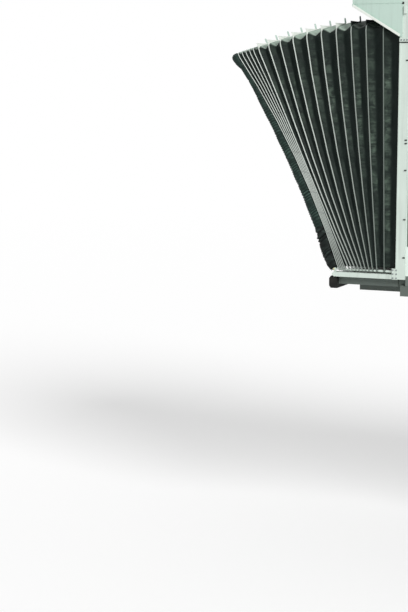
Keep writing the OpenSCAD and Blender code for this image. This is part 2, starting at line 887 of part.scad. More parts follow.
// The curve of a bow's side runs straight between its knots, so that what lies on it fits
function knot_h(i) = bow_side * i / knots;
function knot_x(k, i) = -curve(k) * 4 * i / knots * (1 - i / knots);
function side_x(k, h) = let (i = floor(h * knots / bow_side), part = h * knots / bow_side - i)
    knot_x(k, i) * (1 - part) + knot_x(k, i + 1) * part;

// Outline of a bow seen from the front, set in by d: up one side, over the top, down the other
function roof_h(y, d) = bow_side - d + bow_rise * (1 - pow(y / (canopy_half - d), 2));
function corner_y(d, a) =
    let (r = max(bow_corner_r - d, 4))
        canopy_half - d - r + r * cos(a);
function corner_h(d, a) =
    let (r = max(bow_corner_r - d, 4))
        roof_h(corner_y(d, corner_turn), d) - r * sin(corner_turn) + r * sin(a);
function half_outline(d, low) = concat(
    [[canopy_half - d, low]],
    [for (i = [1 : knots - 1])
        [canopy_half - d, knot_h(i)]],
    [for (i = [0 : corner_steps])
        [corner_y(d, corner_turn * i / corner_steps), corner_h(d, corner_turn * i / corner_steps)]],
    [for (i = [1 : top_steps])
        let (y = corner_y(d, corner_turn) * (1 - i / top_steps))
            [y, roof_h(y, d)]]);
function outline(d, low) =
    let (half = half_outline(d, low), n = len(half))
        concat([for (p = half) [-p[0], p[1]]], [for (i = [n - 2 : -1 : 0]) half[i]]);

// A hoop: its shape from the front, cut to its shape from the side
module hoop(k, low, outer_d, inner_d, back, front_low, front_high) {
    inner = outline(inner_d, low);
    intersection() {
        run_y(-portal_half, portal_half)
            polygon(concat(
                [for (i = [0 : knots + 1])
                    [knot_x(k, i) + back, knot_h(i)]],
                [for (i = [knots + 1 : -1 : 0])
                    [knot_x(k, i) - front_low - (front_high - front_low) * i / knots, knot_h(i)]]));
        run_x(-400, 400)
            polygon(concat(outline(outer_d, low), [for (i = [len(inner) - 1 : -1 : 0]) inner[i]]));
    }
}

module on_bow(k) {
    translate([front_x - foot(k), 0, pivot_z])
        rotate([0, -lean(k), 0])
            children();
}

module bow(k) {
    outer_d = canopy_half - bow_half;
    half_t = bar_t(k) / 2;
    color(alu_grey)
        on_bow(k)
            difference() {
                union() {
                    hoop(k, 0, outer_d, outer_d + bow_depth, half_t, half_t, half_t);
                    both_sides()
                        translate([0, rod_y, 0])
                            rotate([0, 90, 0])
                                cylinder(r = eye_r, h = bar_t(k), center = true);
                }
                both_sides()
                    translate([0, rod_y, 0])
                        rotate([0, 90, 0])
                            cylinder(r = eye_bore_r, h = 3 * bow_t, center = true);
            }
}

module front_pad() {
    skin = pack_t / 2 + seat_gap;
    color(fabric_dark)
        on_bow(bow_count)
            hoop(bow_count, pad_foot, 0, pad_w, -skin, skin + pad_foot_t, skin + pad_top_t);
}

// One line of the fabric: bow k, moved back by x, set in by d
function fabric_point(k, x, p) =
    let (h = p[1], lx = side_x(k, h) + x)
        [front_x - foot(k) + lx * cos(lean(k)) - h * sin(lean(k)), p[0],
            pivot_z + lx * sin(lean(k)) + h * cos(lean(k))];
function crest_line(k, x, d) =
    [for (p = outline(d, fabric_foot)) fabric_point(k, x, p)];
function gap_at(k, h) =
    norm(fabric_point(k, 0, [0, h]) - fabric_point(k + 1, 0, [0, h])) - bar_t(k) / 2 - bar_t(k + 1) / 2;
function valley_line(k, d) =
    let (flat = outline(0, fabric_foot))
        [for (i = [0 : len(flat) - 1])
            let (depth = pleat_share * gap_at(k, flat[i][1]) + d,
                p = outline(depth, fabric_foot)[i])
                0.45 * fabric_point(k, 0, p) + 0.55 * fabric_point(k + 1, 0, p)];
function fabric_lines(d) = concat(
    [crest_line(0, -seat_gap, d)],
    [for (k = [0 : bow_count - 1])
        each [valley_line(k, d), crest_line(k + 1, bar_t(k + 1) / 2 + crest_lap, d),
            crest_line(k + 1, -bar_t(k + 1) / 2 + (k + 1 < bow_count ? -crest_lap : seat_gap), d)]]);

module canopy_fabric() {
    outer = fabric_lines(0);
    inner = fabric_lines(fabric_t);
    n = len(outer);
    m = len(outer[0]);
    function at(i, j) = i * m + j;
    function quad(a, b, c, d) = [[a, b, c], [a, c, d]];
    points = concat([for (line = outer) each line], [for (line = inner) each line]);
    faces = concat(
        [for (i = [0 : n - 2], j = [0 : m - 2])
            each quad(at(i, j), at(i + 1, j), at(i + 1, j + 1), at(i, j + 1))],
        [for (i = [0 : n - 2], j = [0 : m - 2])
            each quad(n * m + at(i, j), n * m + at(i, j + 1), n * m + at(i + 1, j + 1),
                n * m + at(i + 1, j))],
        [for (i = [0 : n - 2])
            each concat(
                quad(at(i, 0), n * m + at(i, 0), n * m + at(i + 1, 0), at(i + 1, 0)),
                quad(at(i, m - 1), at(i + 1, m - 1), n * m + at(i + 1, m - 1), n * m + at(i, m - 1)))],
        [for (j = [0 : m - 2])
            each concat(
                quad(at(0, j), at(0, j + 1), n * m + at(0, j + 1), n * m + at(0, j)),
                quad(at(n - 1, j), n * m + at(n - 1, j), n * m + at(n - 1, j + 1), at(n - 1, j + 1)))]);
    color(fabric_dark)
        polyhedron(points, faces);
}

base_column();
rotunda_floor();
rotunda_curtains();
rotunda_roof();
terminal_collar();
inner_tunnel_floor();
inner_tunnel_walls();
inner_tunnel_roof();
outer_tunnel_floor();
outer_tunnel_walls();
outer_tunnel_roof();
tunnel_collar();
service_door();
lift_frame();
lift_lower_tubes();
wheel_carriage();
wheel_rims();
tyres();
stair_landing();
stair_stringers();
stair_treads();
stair_handrails();
stair_wheels();
cab_floor();
cab_walls();
cab_curtains();
cab_roof();
cab_glass();
portal_posts();
portal_header();
canopy_hood();
canopy_rails();
foot_rods();
bumper();
bow(1);  // bow_01
bow(2);  // bow_02
bow(3);  // bow_03
bow(4);  // bow_04
bow(5);  // bow_05
bow(6);  // bow_06
bow(7);  // bow_07
bow(8);  // bow_08
bow(9);  // bow_09
bow(10);  // bow_10
bow(11);  // bow_11
bow(12);  // bow_12
bow(13);  // bow_13
bow(14);  // bow_14
bow(bow_count);  // lead_bow
front_pad();
canopy_fabric();
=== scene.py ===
"""Dressing for the jet bridge: canopy cloth, trim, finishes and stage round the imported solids.

It is run as a script in Blender 4.5. Sizes are in metres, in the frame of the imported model:
the origin is under the rotunda column on the ground, the cab faces -X, and Z is up.
"""
import json
import math
from contextlib import contextmanager

import bpy
import numpy as np
from bpy.props import FloatProperty, FloatVectorProperty, PointerProperty
from mathutils import Matrix, Vector, noise


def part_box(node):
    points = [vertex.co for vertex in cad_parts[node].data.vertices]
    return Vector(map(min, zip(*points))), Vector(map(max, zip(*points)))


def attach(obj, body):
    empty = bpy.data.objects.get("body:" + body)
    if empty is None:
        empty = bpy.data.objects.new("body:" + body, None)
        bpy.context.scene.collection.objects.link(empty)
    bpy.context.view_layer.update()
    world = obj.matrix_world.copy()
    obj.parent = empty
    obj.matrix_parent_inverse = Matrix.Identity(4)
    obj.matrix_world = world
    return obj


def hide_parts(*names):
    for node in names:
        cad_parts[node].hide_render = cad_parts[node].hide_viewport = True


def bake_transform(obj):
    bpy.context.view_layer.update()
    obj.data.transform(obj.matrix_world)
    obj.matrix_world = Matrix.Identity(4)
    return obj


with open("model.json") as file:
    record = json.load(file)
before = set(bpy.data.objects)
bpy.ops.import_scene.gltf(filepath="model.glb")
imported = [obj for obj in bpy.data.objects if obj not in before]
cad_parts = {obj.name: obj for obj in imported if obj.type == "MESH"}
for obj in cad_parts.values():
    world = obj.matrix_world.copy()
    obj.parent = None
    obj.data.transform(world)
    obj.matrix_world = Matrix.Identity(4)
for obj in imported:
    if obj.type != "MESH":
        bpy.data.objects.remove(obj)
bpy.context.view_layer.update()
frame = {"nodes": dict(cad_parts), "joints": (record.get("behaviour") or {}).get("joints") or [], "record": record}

bl_info = {
    "name": "Jet Bridge Dressing",
    "version": (1, 0, 0),
    "blender": (4, 5, 0),
    "location": "3D View > Sidebar > Jet Bridge",
    "description": "Cloth, trim, finishes and stage for a passenger boarding bridge",
    "category": "Object",
}

# Sizes of the bridge, the same as in the source of the solids
PORTAL_LOW, PORTAL_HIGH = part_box("portal_posts")
FRONT_X = PORTAL_LOW.x
PORTAL_HALF = PORTAL_HIGH.y
CAB_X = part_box("cab_walls")[1].x
CAB_SIDE = 1.28
FLOOR_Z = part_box("cab_floor")[1].z
INNER_FLOOR_Z = 3.9
BAY = 1.5
ROTUNDA_R = 1.75
STEPS, GOING, RISE = 18, 0.24, 0.187

# Sizes of the bows, the same as in the source too, with leans and turns in degrees
CANOPY_HALF = PORTAL_HALF - 0.008
SPREAD, BOWS = 10, 15
BOW_SIDE, BOW_RISE, CORNER_R = 2.97, 0.13, 0.09
FIRST_LEAN, SPREAD_LEAN, LEAD_LEAN = 1.2, 24.3, 27.4
FAN_SKEW, FAN_LINEAR = 0.93, 0.7
SPREAD_CURVE, LEAD_CURVE = 0.085, 0.11
BAR_T, PACK_T = 0.012, 0.009
KNOTS, CORNER_TURN = 6, 81
CLOTH_FOOT = 0.045
PIVOT = {j["child"]: Vector(j["pos_m"]) for j in frame["joints"]}
PIVOT_Z = PIVOT["lead_frame"].z
FOLD_RATIO = {c["joint"]: c["ratio"] for c in frame["record"]["behaviour"]["couplings"]}

# Sizes of the cloth. A pleat is drawn through these steps from its rear bow to its front one.
PLEAT_STEPS = np.array([0, 0.05, 0.13, 0.22, 0.32, 0.42, 0.5, 0.55, 0.6, 0.68, 0.77, 0.87, 0.95, 1.0])
VALLEY = 0.55
CLOTH_T, CLOTH_EDGE, BAR_ROOM = 0.003, 0.0065, 0.001
ROOF_FROM = 2.965
PAD_BACK, PAD_LACED = 0.0052, 0.016
ROLL_SIDES, ROLL_SQUARE = 28, 2.7
CLOTH_FRAMES = 20

# Sizes of the trim. SKIN is how deep a piece is let into the one that it sits on.
SKIN = 0.001
MAT_T = 0.005
PEG_Y, WEDGE_H, WEDGE_END = 1.2, 0.05, CANOPY_HALF - 0.03


def linear(hex_code):
    """Linear RGB of an sRGB hex value."""
    parts = [int(hex_code[i:i + 2], 16) / 255 for i in (1, 3, 5)]
    return tuple(c / 12.92 if c <= 0.04045 else ((c + 0.055) / 1.055) ** 2.4 for c in parts)


# Settings that a user may change


def colour_setting(name, description, hex_code):
    """A colour that a user may change."""
    return FloatVectorProperty(name=name, description=description, subtype="COLOR",
                               size=3, min=0, max=1, default=linear(hex_code))


class CanopySettings(bpy.types.PropertyGroup):
    """Sizes and colours of the pleated canopy"""
    cloth: colour_setting("Cloth", "Colour of the coated canopy cloth", "#111b18")
    # Colour of the painted highlight on the faces of the cloth turned to the key lamp
    lit_colour: colour_setting("Faded cloth", "Colour where sun and dust have bleached the cloth", "#56665a")
    bow: colour_setting("Bow", "Colour of the aluminium bows", "#dde5de")
    grid: FloatProperty(
        name="Cloth grid", description="Distance between points along a pleat",
        subtype="DISTANCE", unit="LENGTH", min=0.01, max=0.05, default=0.022)
    wrinkle: FloatProperty(
        name="Wrinkle", description="Depth of the wrinkles in the cloth",
        subtype="DISTANCE", unit="LENGTH", min=0, max=0.02, default=0.011)
    gather: FloatProperty(
        name="Gather pitch", description="Distance from one gather of the front pad to the next",
        subtype="DISTANCE", unit="LENGTH", min=0.015, max=0.05, default=0.033)


class PaintSettings(bpy.types.PropertyGroup):
    """Colours of the paints and rubbers"""
    white: colour_setting("White paint", "Colour of the walls, roofs and posts", "#dae7de")
    grey: colour_setting("Grey paint", "Colour of the floors, column and wheel carriage", "#68716c")
    hood: colour_setting("Hood paint", "Colour of the hood over the canopy", "#c6dcd1")
    yellow: colour_setting("Yellow paint", "Colour of the handrails", "#c9a136")
    rubber: colour_setting("Rubber", "Colour of the tyres, bumper and seals", "#161817")


class StageSettings(bpy.types.PropertyGroup):
    """Light, floor and camera"""
    key: FloatProperty(
        name="Key lamp", description="Strength of the key lamp",
        min=0, max=6, default=2.1)
    fill: FloatProperty(
        name="Fill", description="Strength of the light from all round",
        min=0, max=2, default=0.5)
    lens: FloatProperty(
        name="Lens", description="Focal length of the camera",
        subtype="DISTANCE_CAMERA", min=20, max=200, default=89.2)


# Helpers for nodes and meshes


@contextmanager
def edit_mode():
    """Keeps the active object in edit mode for as long as the block runs."""
    bpy.ops.object.mode_set(mode="EDIT")
    yield
    bpy.ops.object.mode_set(mode="OBJECT")


def add_node(tree, kind, inputs=None, stops=None, span=None, **settings):
    """Adds one node, sets it up, and fills its inputs with values, sockets or other nodes' results.

    stops are the (place, grey) pairs of a ramp, and span is what a range maps from and to.
    Inputs 0, 6 and 7 of a colour mix are its share and its two colours.
    """
    node = tree.nodes.new("ShaderNode" + kind)
    for key, value in settings.items():
        setattr(node, key, value)
    for key, value in (inputs or {}).items():
        if isinstance(value, bpy.types.Node):
            value = next(socket for socket in value.outputs if socket.enabled)
        if isinstance(value, bpy.types.NodeSocket):
            tree.links.new(value, node.inputs[key])
        else:
            node.inputs[key].default_value = value
    for key, value in enumerate(span or (), 1):
        node.inputs[key].default_value = value
    if stops:
        elements = node.color_ramp.elements
        while len(elements) < len(stops):
            elements.new(1.0)
        for element, (place, grey) in zip(elements, stops):
            element.position = place
            element.color = (grey, grey, grey, 1.0)
    return node


def new_material(name):
    """A material with its node tree, empty but for the object coordinates that its patterns follow."""
    material = bpy.data.materials.new(name)
    material.use_nodes = True
    tree = material.node_tree
    tree.nodes.clear()
    return material, tree, add_node(tree, "TexCoord").outputs["Object"]


def close_material(tree, **sockets):
    """Adds the shader and the output. Words in the socket names are joined with underscores."""
    shader = add_node(tree, "BsdfPrincipled",
                      {key.replace("_", " "): value for key, value in sockets.items()})
    add_node(tree, "OutputMaterial", {"Surface": shader})


def rgba(colour, share=1.0):
    """A colour with full alpha, darkened or lightened by a share."""
    return (*(c * share for c in colour), 1.0)


def deselect():
    """Leaves nothing selected, because an operator acts on all that is."""
    bpy.ops.object.select_all(action="DESELECT")


def activate(*objects):
    """Selects these objects alone and makes the first one active."""
    deselect()
    for obj in objects:
        obj.select_set(True)
    bpy.context.view_layer.objects.active = objects[0]


def apply_modifier(obj, kind, **settings):
    """Gives an object a modifier and applies it."""
    activate(obj)
    modifier = obj.modifiers.new(kind.title(), kind)
    for key, value in settings.items():
        setattr(modifier, key, value)
    bpy.ops.object.modifier_apply(modifier=modifier.name)


def merge_doubles(obj):
    """Bevels that meet leave doubled points, which this merges."""
    activate(obj)
    with edit_mode():
        bpy.ops.mesh.select_all(action="SELECT")
        bpy.ops.mesh.remove_doubles(threshold=0.00002)


def face_outwards():
    """Turns all faces of the mesh in edit mode outwards."""
    bpy.ops.mesh.select_all(action="SELECT")
    bpy.ops.mesh.normals_make_consistent(inside=False)


def block(low, high, bevel=0.0, segments=1):
    """A box between two corners, with its edges bevelled."""
    deselect()
    low, high = Vector(low), Vector(high)
    bpy.ops.mesh.primitive_cube_add(size=1, location=(low + high) / 2)
    obj = bpy.context.object
    obj.scale = high - low
    bpy.ops.object.transform_apply()
    if bevel:
        apply_modifier(obj, "BEVEL", width=bevel, segments=segments, limit_method="ANGLE")
        merge_doubles(obj)
    return obj


def hex_bolt(radius, height):
    """A bolt head on its washer, standing on the origin, its axis along Z."""
    deselect()
    bpy.ops.mesh.primitive_cylinder_add(vertices=6, radius=radius, depth=height,
                                        location=(0, 0, height / 2 + 0.2 * height))
    head = bpy.context.object
    pick_faces(head, lambda face: face.normal.z > 0.9)
    with edit_mode():
        bpy.ops.mesh.inset(thickness=radius * 0.18, depth=height * 0.12)
    deselect()
    bpy.ops.mesh.primitive_cylinder_add(vertices=12, radius=radius * 1.45, depth=0.25 * height,
                                        location=(0, 0, 0.125 * height))
    join(head, bpy.context.object)
    bpy.ops.object.transform_apply()
    return head


def stamp(master, places, keep=False):
    """One mesh object with a copy of the master at each place. The master goes unless it is kept."""
    mesh = master.data
    points = np.array([v.co for v in mesh.vertices])
    faces = [tuple(p.vertices) for p in mesh.polygons]
    all_points, all_faces = [], []
    for place in places:
        turn = np.array(place)
        flipped = np.linalg.det(turn[:3, :3]) < 0
        start = len(all_points) * len(points)
        all_points.append(points @ turn[:3, :3].T + turn[:3, 3])
        all_faces += [tuple(start + i for i in (reversed(f) if flipped else f)) for f in faces]
    made = bpy.data.meshes.new("stamped")
    made.from_pydata(np.concatenate(all_points).tolist(), [], all_faces)
    obj = bpy.data.objects.new("stamped", made)
    bpy.context.scene.collection.objects.link(obj)
    if not keep:
        bpy.data.objects.remove(master)
    return obj


def mirrored(obj):
    """The piece on both sides of the bridge."""
    return stamp(obj, [Matrix(), Matrix.Scale(-1, 4, (0, 1, 0))])


def join(*objects):
    """Joins objects into the first of them."""
    activate(*objects)
    bpy.ops.object.join()
    return objects[0]


def settle(obj, name, material, body="bridge", smooth=None):
    """Names a finished piece, gives it its finish, and lets it ride."""
    activate(obj)
    bpy.ops.object.transform_apply()
    obj.name = obj.data.name = name
    obj.data.materials.clear()
    obj.data.materials.append(FINISH[material])
    if smooth is not None:
        bpy.ops.object.shade_smooth_by_angle(angle=math.radians(smooth))
    if body:
        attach(obj, body)
    return obj


def facing(direction, place=(0, 0, 0)):
    """Turns the Z axis to a direction, at a place."""
    turn = Vector(direction).to_track_quat("Z", "Y").to_matrix().to_4x4()
    return Matrix.Translation(place) @ turn


def frame_ring(width, height, bar, depth):
    """A frame lying in the XY plane round an opening, standing up along Z."""
    deselect()
    bpy.ops.mesh.primitive_plane_add(size=1)
    obj = bpy.context.object
    with edit_mode():
        bpy.ops.transform.resize(value=(width + 2 * bar, height + 2 * bar, 1))
        bpy.ops.mesh.inset(thickness=bar)
        bpy.ops.mesh.delete(type="FACE")
        bpy.ops.mesh.select_all(action="SELECT")
        bpy.ops.mesh.extrude_region_move(TRANSFORM_OT_translate={"value": (0, 0, depth)})
        face_outwards()
    apply_modifier(obj, "BEVEL", width=min(bar, depth) * 0.3, segments=1, limit_method="ANGLE")
    return obj


def rivet(radius):
    """A domed rivet head of a few faces, its axis along Z."""
    deselect()
    bpy.ops.mesh.primitive_cone_add(vertices=6, radius1=radius, radius2=radius * 0.55,
                                    depth=radius * 0.7, location=(0, 0, radius * 0.35))
    obj = bpy.context.object
    pick_faces(obj, lambda face: face.normal.z > 0.9)
    with edit_mode():
        bpy.ops.mesh.inset(thickness=radius * 0.2, depth=radius * 0.1)
    bpy.ops.object.transform_apply()
    return obj


def pick_faces(obj, wanted):
    """Selects the faces that pass a test, ready for edit mode."""
    activate(obj)
    bpy.context.tool_settings.mesh_select_mode = (False, False, True)
    for vertex in obj.data.vertices:
        vertex.select = False
    for edge in obj.data.edges:
        edge.select = False
    for face in obj.data.polygons:
        face.select = wanted(face)


def placed(place, along, up):
    """A turn that lays local X along one direction and local Y along another."""
    along, up = Vector(along).normalized(), Vector(up).normalized()
    turn = Matrix((along, up, along.cross(up))).transposed().to_4x4()
    return Matrix.Translation(place) @ turn


def row(start, end, pitch):
    """Places from a start to an end, evenly spaced, about a pitch apart."""
    start, end = Vector(start), Vector(end)
    count = max(1, round((end - start).length / pitch))
    return [start.lerp(end, i / count) for i in range(count + 1)]


def heads_on_face(master, places, direction):
    """A copy of a bolt or rivet at each place, standing out along a direction."""
    return stamp(master, [facing(direction, place) for place in places])


def moved(obj, matrix):
    """Puts an object in its place and applies the place to its mesh."""
    activate(obj)
    obj.matrix_world = matrix
    bpy.ops.object.transform_apply()
    return obj


def band(radius, height, thick, stays):
    """A hoop round the origin. Only the faces that pass the test stay."""
    deselect()
    bpy.ops.mesh.primitive_cylinder_add(vertices=96, radius=radius, depth=height,
                                        end_fill_type="NOTHING")
    obj = bpy.context.object
    pick_faces(obj, lambda face: not stays(face.center))
    with edit_mode():
        bpy.ops.mesh.delete(type="FACE")
    apply_modifier(obj, "SOLIDIFY", thickness=thick, offset=1.0)
    return obj


def tyre(radius, width, rim, steps):
    """A tyre on the Y axis with three rings of tread blocks."""
    deselect()
    tread, shoulder = 0.024 * radius, 0.05 * radius
    bpy.ops.mesh.primitive_cylinder_add(vertices=steps, radius=radius - tread, depth=width,
                                        rotation=(math.radians(90), 0, 0), end_fill_type="NGON")
    obj = bpy.context.object
    bpy.ops.object.transform_apply()
    apply_modifier(obj, "BEVEL", width=shoulder, segments=2, limit_method="ANGLE",
                   angle_limit=math.radians(60))
    pick_faces(obj, lambda face: abs(face.normal.y) > 0.95)
    wall = radius - tread - shoulder - rim
    with edit_mode():
        # The raised edge, the side wall, the step down to the bead, and the hole for the rim
        for share, depth in ((0.15, 0.004), (0.45, 0.0), (0.1, -0.006)):
            bpy.ops.mesh.inset(thickness=wall * share, depth=depth)
        bpy.ops.mesh.inset(thickness=wall * 0.3 - 0.001, depth=-0.006)
        bpy.ops.mesh.delete(type="FACE")
        bpy.ops.mesh.select_mode(type="EDGE")
        bpy.ops.mesh.select_non_manifold()
        bpy.ops.mesh.bridge_edge_loops()
        for place in (-width / 6, width / 6):
            bpy.ops.mesh.select_all(action="SELECT")
            bpy.ops.mesh.bisect(plane_co=(0, place, 0), plane_no=(0, 1, 0))
    pick_faces(obj, lambda face: abs(face.normal.y) < 0.2
               and math.hypot(face.center.x, face.center.z) > radius - 2.5 * tread)
    with edit_mode():
        bpy.ops.mesh.inset(use_individual=True, thickness=0.016 * radius, depth=tread)
        face_outwards()
    return obj


def turned(radius, depth, crown, vertices=32):
    """A turned cover on the XY plane: a disc with a raised, bevelled middle."""
    deselect()
    bpy.ops.mesh.primitive_cylinder_add(vertices=vertices, radius=radius, depth=depth,
                                        location=(0, 0, depth / 2))
    obj = bpy.context.object
    bpy.ops.object.transform_apply()
    pick_faces(obj, lambda face: face.normal.z > 0.9)
    with edit_mode():
        bpy.ops.mesh.inset(thickness=radius * 0.25)
        bpy.ops.mesh.inset(thickness=radius * 0.1, depth=crown)
    apply_modifier(obj, "BEVEL", width=depth * 0.2, segments=2, limit_method="ANGLE")
    merge_doubles(obj)
    return obj


# Finishes

FINISH = {}


def painted_steel(name, colour, rust, grime, roughness):
    """Enamel sprayed on steel.

    The eye gets a soft gloss with the orange peel of the spray, dirt that rain drew down in
    streaks, and brown rust where the coat chipped.
    """
    material, tree, coords = new_material(name)
    cloudy = add_node(tree, "TexNoise", {"Vector": coords, "Scale": 1.7, "Detail": 5.0, "Roughness": 0.6})
    tone = add_node(tree, "Mix", {0: cloudy, 6: rgba(colour, 0.86), 7: rgba(colour, 1.06)},
                    data_type="RGBA")
    # Streaks 20 to 60 mm wide and a metre long
    long_way = add_node(tree, "Mapping", {"Vector": coords, "Scale": (22.0, 22.0, 0.9)})
    streaks = add_node(tree, "TexNoise",
                       {"Vector": long_way, "Scale": 1.0, "Detail": 6.0, "Roughness": 0.62})
    streak_mask = add_node(tree, "ValToRGB", {"Fac": streaks}, stops=[(0.5, 0.0), (0.78, grime)])
    dirty = add_node(tree, "Mix", {0: streak_mask, 6: tone, 7: rgba(linear("#6d7267"))},
                     data_type="RGBA")
    # Rust in spots of 5 to 20 mm, in the places where the broad noise lets it through
    spots = add_node(tree, "TexNoise", {"Vector": coords, "Scale": 31.0, "Detail": 4.0, "Roughness": 0.7})
    broad = add_node(tree, "TexNoise", {"Vector": coords, "Scale": 2.3, "Detail": 2.0})
    both = add_node(tree, "Math", {0: spots, 1: broad}, operation="ADD")
    rusty = add_node(tree, "MapRange", {0: both},
                     span=(1.33 - 0.06 * rust, 1.39 - 0.06 * rust, 0.0, 0.85))
    coloured = add_node(tree, "Mix", {0: rusty, 6: dirty, 7: rgba(linear("#7d4d31"))}, data_type="RGBA")
    gloss = add_node(tree, "MapRange", {0: cloudy}, span=(0.3, 0.7, roughness - 0.07, roughness + 0.1))
    # The orange peel is 2 mm in the real coat and drawn at 12 mm here, so that it shows
    peel = add_node(tree, "TexNoise", {"Vector": coords, "Scale": 85.0, "Detail": 2.0})
    height = add_node(tree, "Math", {0: rusty, 1: peel}, operation="ADD")
    bump = add_node(tree, "Bump", {"Strength": 0.12, "Distance": 0.002, "Height": height})
    close_material(tree, Base_Color=coloured, Roughness=gloss, Normal=bump, Specular_IOR_Level=0.14)
    return material


def coated_cloth(name, colour, lit_colour, crease):
    """Woven polyester with a coat of PVC.

    The eye gets a dull sheen, creases that catch the light, a pale painted highlight on what turns
    to the key lamp, and a painted reflection of the sky on the roof.
    """
    material, tree, coords = new_material(name)
    painted_light = add_node(tree, "Attribute", attribute_name="painted_light", attribute_type="GEOMETRY")
    # Blotches 60 to 150 mm across
    blotch = add_node(tree, "TexNoise",
                      {"Vector": coords, "Scale": 9.0, "Detail": 6.0, "Roughness": 0.62, "Distortion": 0.6})
    contrast = add_node(tree, "MapRange", {0: blotch}, span=(0.38, 0.6, 0.15, 1.0))
    # Fold marks that lie across the pleats, 20 to 50 mm high: the painted highlight stays out of them
    level = add_node(tree, "Mapping", {"Vector": coords, "Scale": (3.5, 3.5, 17.0)})
    marks = add_node(tree, "TexNoise",
                     {"Vector": level, "Scale": 1.0, "Detail": 5.0, "Roughness": 0.6, "Distortion": 0.9})
    open_part = add_node(tree, "MapRange", {0: marks}, span=(0.4, 0.56, 0.25, 1.0))
    mottled = add_node(tree, "Math", {0: contrast, 1: open_part}, operation="MULTIPLY")
    share = add_node(tree, "Math", {0: painted_light.outputs["Fac"], 1: mottled}, operation="MULTIPLY")
    highlighted = add_node(tree, "Mix", {0: share, 6: rgba(colour), 7: rgba(lit_colour)}, data_type="RGBA")
    # Painted reflection: the roof is paled towards grey-green white, standing in for the sky it mirrors
    sun = add_node(tree, "Attribute", attribute_name="sun", attribute_type="GEOMETRY")
    tone = add_node(tree, "Mix", {0: sun.outputs["Fac"], 6: highlighted, 7: rgba(linear("#a3b5a8"))},
                    data_type="RGBA")
    gloss = add_node(tree, "MapRange", {0: blotch}, span=(0.3, 0.7, 0.42, 0.62))
    creases = add_node(tree, "TexNoise", {"Vector": coords, "Scale": 34.0, "Detail": 4.0,
                                          "Roughness": 0.6, "Distortion": 1.6})
    # The weave is 1 mm in the real cloth and drawn at 4 mm here, so that it shows
    weave = add_node(tree, "TexNoise", {"Vector": coords, "Scale": 250.0, "Detail": 1.0})
    height = add_node(tree, "Math", {0: weave, 1: 0.12, 2: creases}, operation="MULTIPLY_ADD")
    bump = add_node(tree, "Bump", {"Strength": crease, "Distance": 0.008, "Height": height})
    close_material(tree, Base_Color=tone, Roughness=gloss, Normal=bump, Specular_IOR_Level=0.14)
    return material


def mill_aluminium(name, colour):
    """Flat aluminium bar as it comes from the rolls, left bare.

    The eye gets a broad soft gloss, grey blooms from the weather, and painted shade near the
    portal that darkens the bars and takes away their shine.
    """
    material, tree, coords = new_material(name)
    # Blooms 100 to 200 mm across
    bloom = add_node(tree, "TexNoise", {"Vector": coords, "Scale": 6.0, "Detail": 6.0})
    clean = add_node(tree, "Mix", {0: bloom, 6: rgba(colour, 0.8), 7: rgba(colour, 1.05)},
                     data_type="RGBA")
    # Painted shade: the bars next to the portal, in the hood's shade, are darkened and dulled; the darkening holds
    # for all of this finish from there back to the cab
    forward = add_node(tree, "SeparateXYZ", {0: coords})
    portal_shade = add_node(tree, "MapRange", {0: forward}, span=(FRONT_X - 1.2, FRONT_X - 0.12, 0.0, 0.9))
    tone = add_node(tree, "Mix", {0: portal_shade, 6: clean, 7: rgba(linear("#49574f"))}, data_type="RGBA")
    gloss = add_node(tree, "MapRange", {0: bloom}, span=(0.3, 0.7, 0.38, 0.55))
    # The grain of the rolls is under 1 mm and drawn at 6 mm here, so that it shows
    grain = add_node(tree, "TexNoise", {"Vector": coords, "Scale": 180.0, "Detail": 2.0})
    bump = add_node(tree, "Bump", {"Strength": 0.1, "Distance": 0.001, "Height": grain})
    bare = add_node(tree, "MapRange", {0: portal_shade}, span=(0.0, 0.9, 0.75, 0.1))
    close_material(tree, Base_Color=tone, Roughness=gloss, Normal=bump, Metallic=bare)
    return material


def galvanised_steel(name):
    """Steel dipped in hot zinc.

    The eye gets a dull grey metal with crystals some 12 mm across, each a little lighter or
    darker than the next.
    """
    material, tree, coords = new_material(name)
    crystals = add_node(tree, "TexVoronoi", {"Vector": coords, "Scale": 80.0})
    grey = add_node(tree, "RGBToBW", {0: crystals.outputs["Color"]})
    tone = add_node(tree, "Mix", {0: grey, 6: rgba(linear("#848b8b")), 7: rgba(linear("#a9b0af"))},
                    data_type="RGBA")
    gloss = add_node(tree, "MapRange", {0: grey}, span=(0.0, 1.0, 0.42, 0.6))
    bump = add_node(tree, "Bump", {"Strength": 0.08, "Distance": 0.001, "Height": grey})
    close_material(tree, Base_Color=tone, Roughness=gloss, Normal=bump, Metallic=0.8)
    return material


def moulded_rubber(name, colour, roughness):
    """Black rubber from a mould or a die.

    The eye gets a soft black with no shine, greyed by dust and scuffs, with fine pores.
    """
    material, tree, coords = new_material(name)
    dust = add_node(tree, "TexNoise", {"Vector": coords, "Scale": 7.0, "Detail": 7.0, "Roughness": 0.65})
    mask = add_node(tree, "MapRange", {0: dust}, span=(0.45, 0.8, 0.0, 0.4))
    tone = add_node(tree, "Mix", {0: mask, 6: rgba(colour), 7: rgba(linear("#47443d"))},
                    data_type="RGBA")
    # The pores are under 1 mm and drawn at 8 mm here, so that they show
    pores = add_node(tree, "TexNoise", {"Vector": coords, "Scale": 120.0, "Detail": 3.0})
    bump = add_node(tree, "Bump", {"Strength": 0.25, "Distance": 0.002, "Height": pores})
    close_material(tree, Base_Color=tone, Roughness=roughness, Normal=bump, Specular_IOR_Level=0.2)
    return material


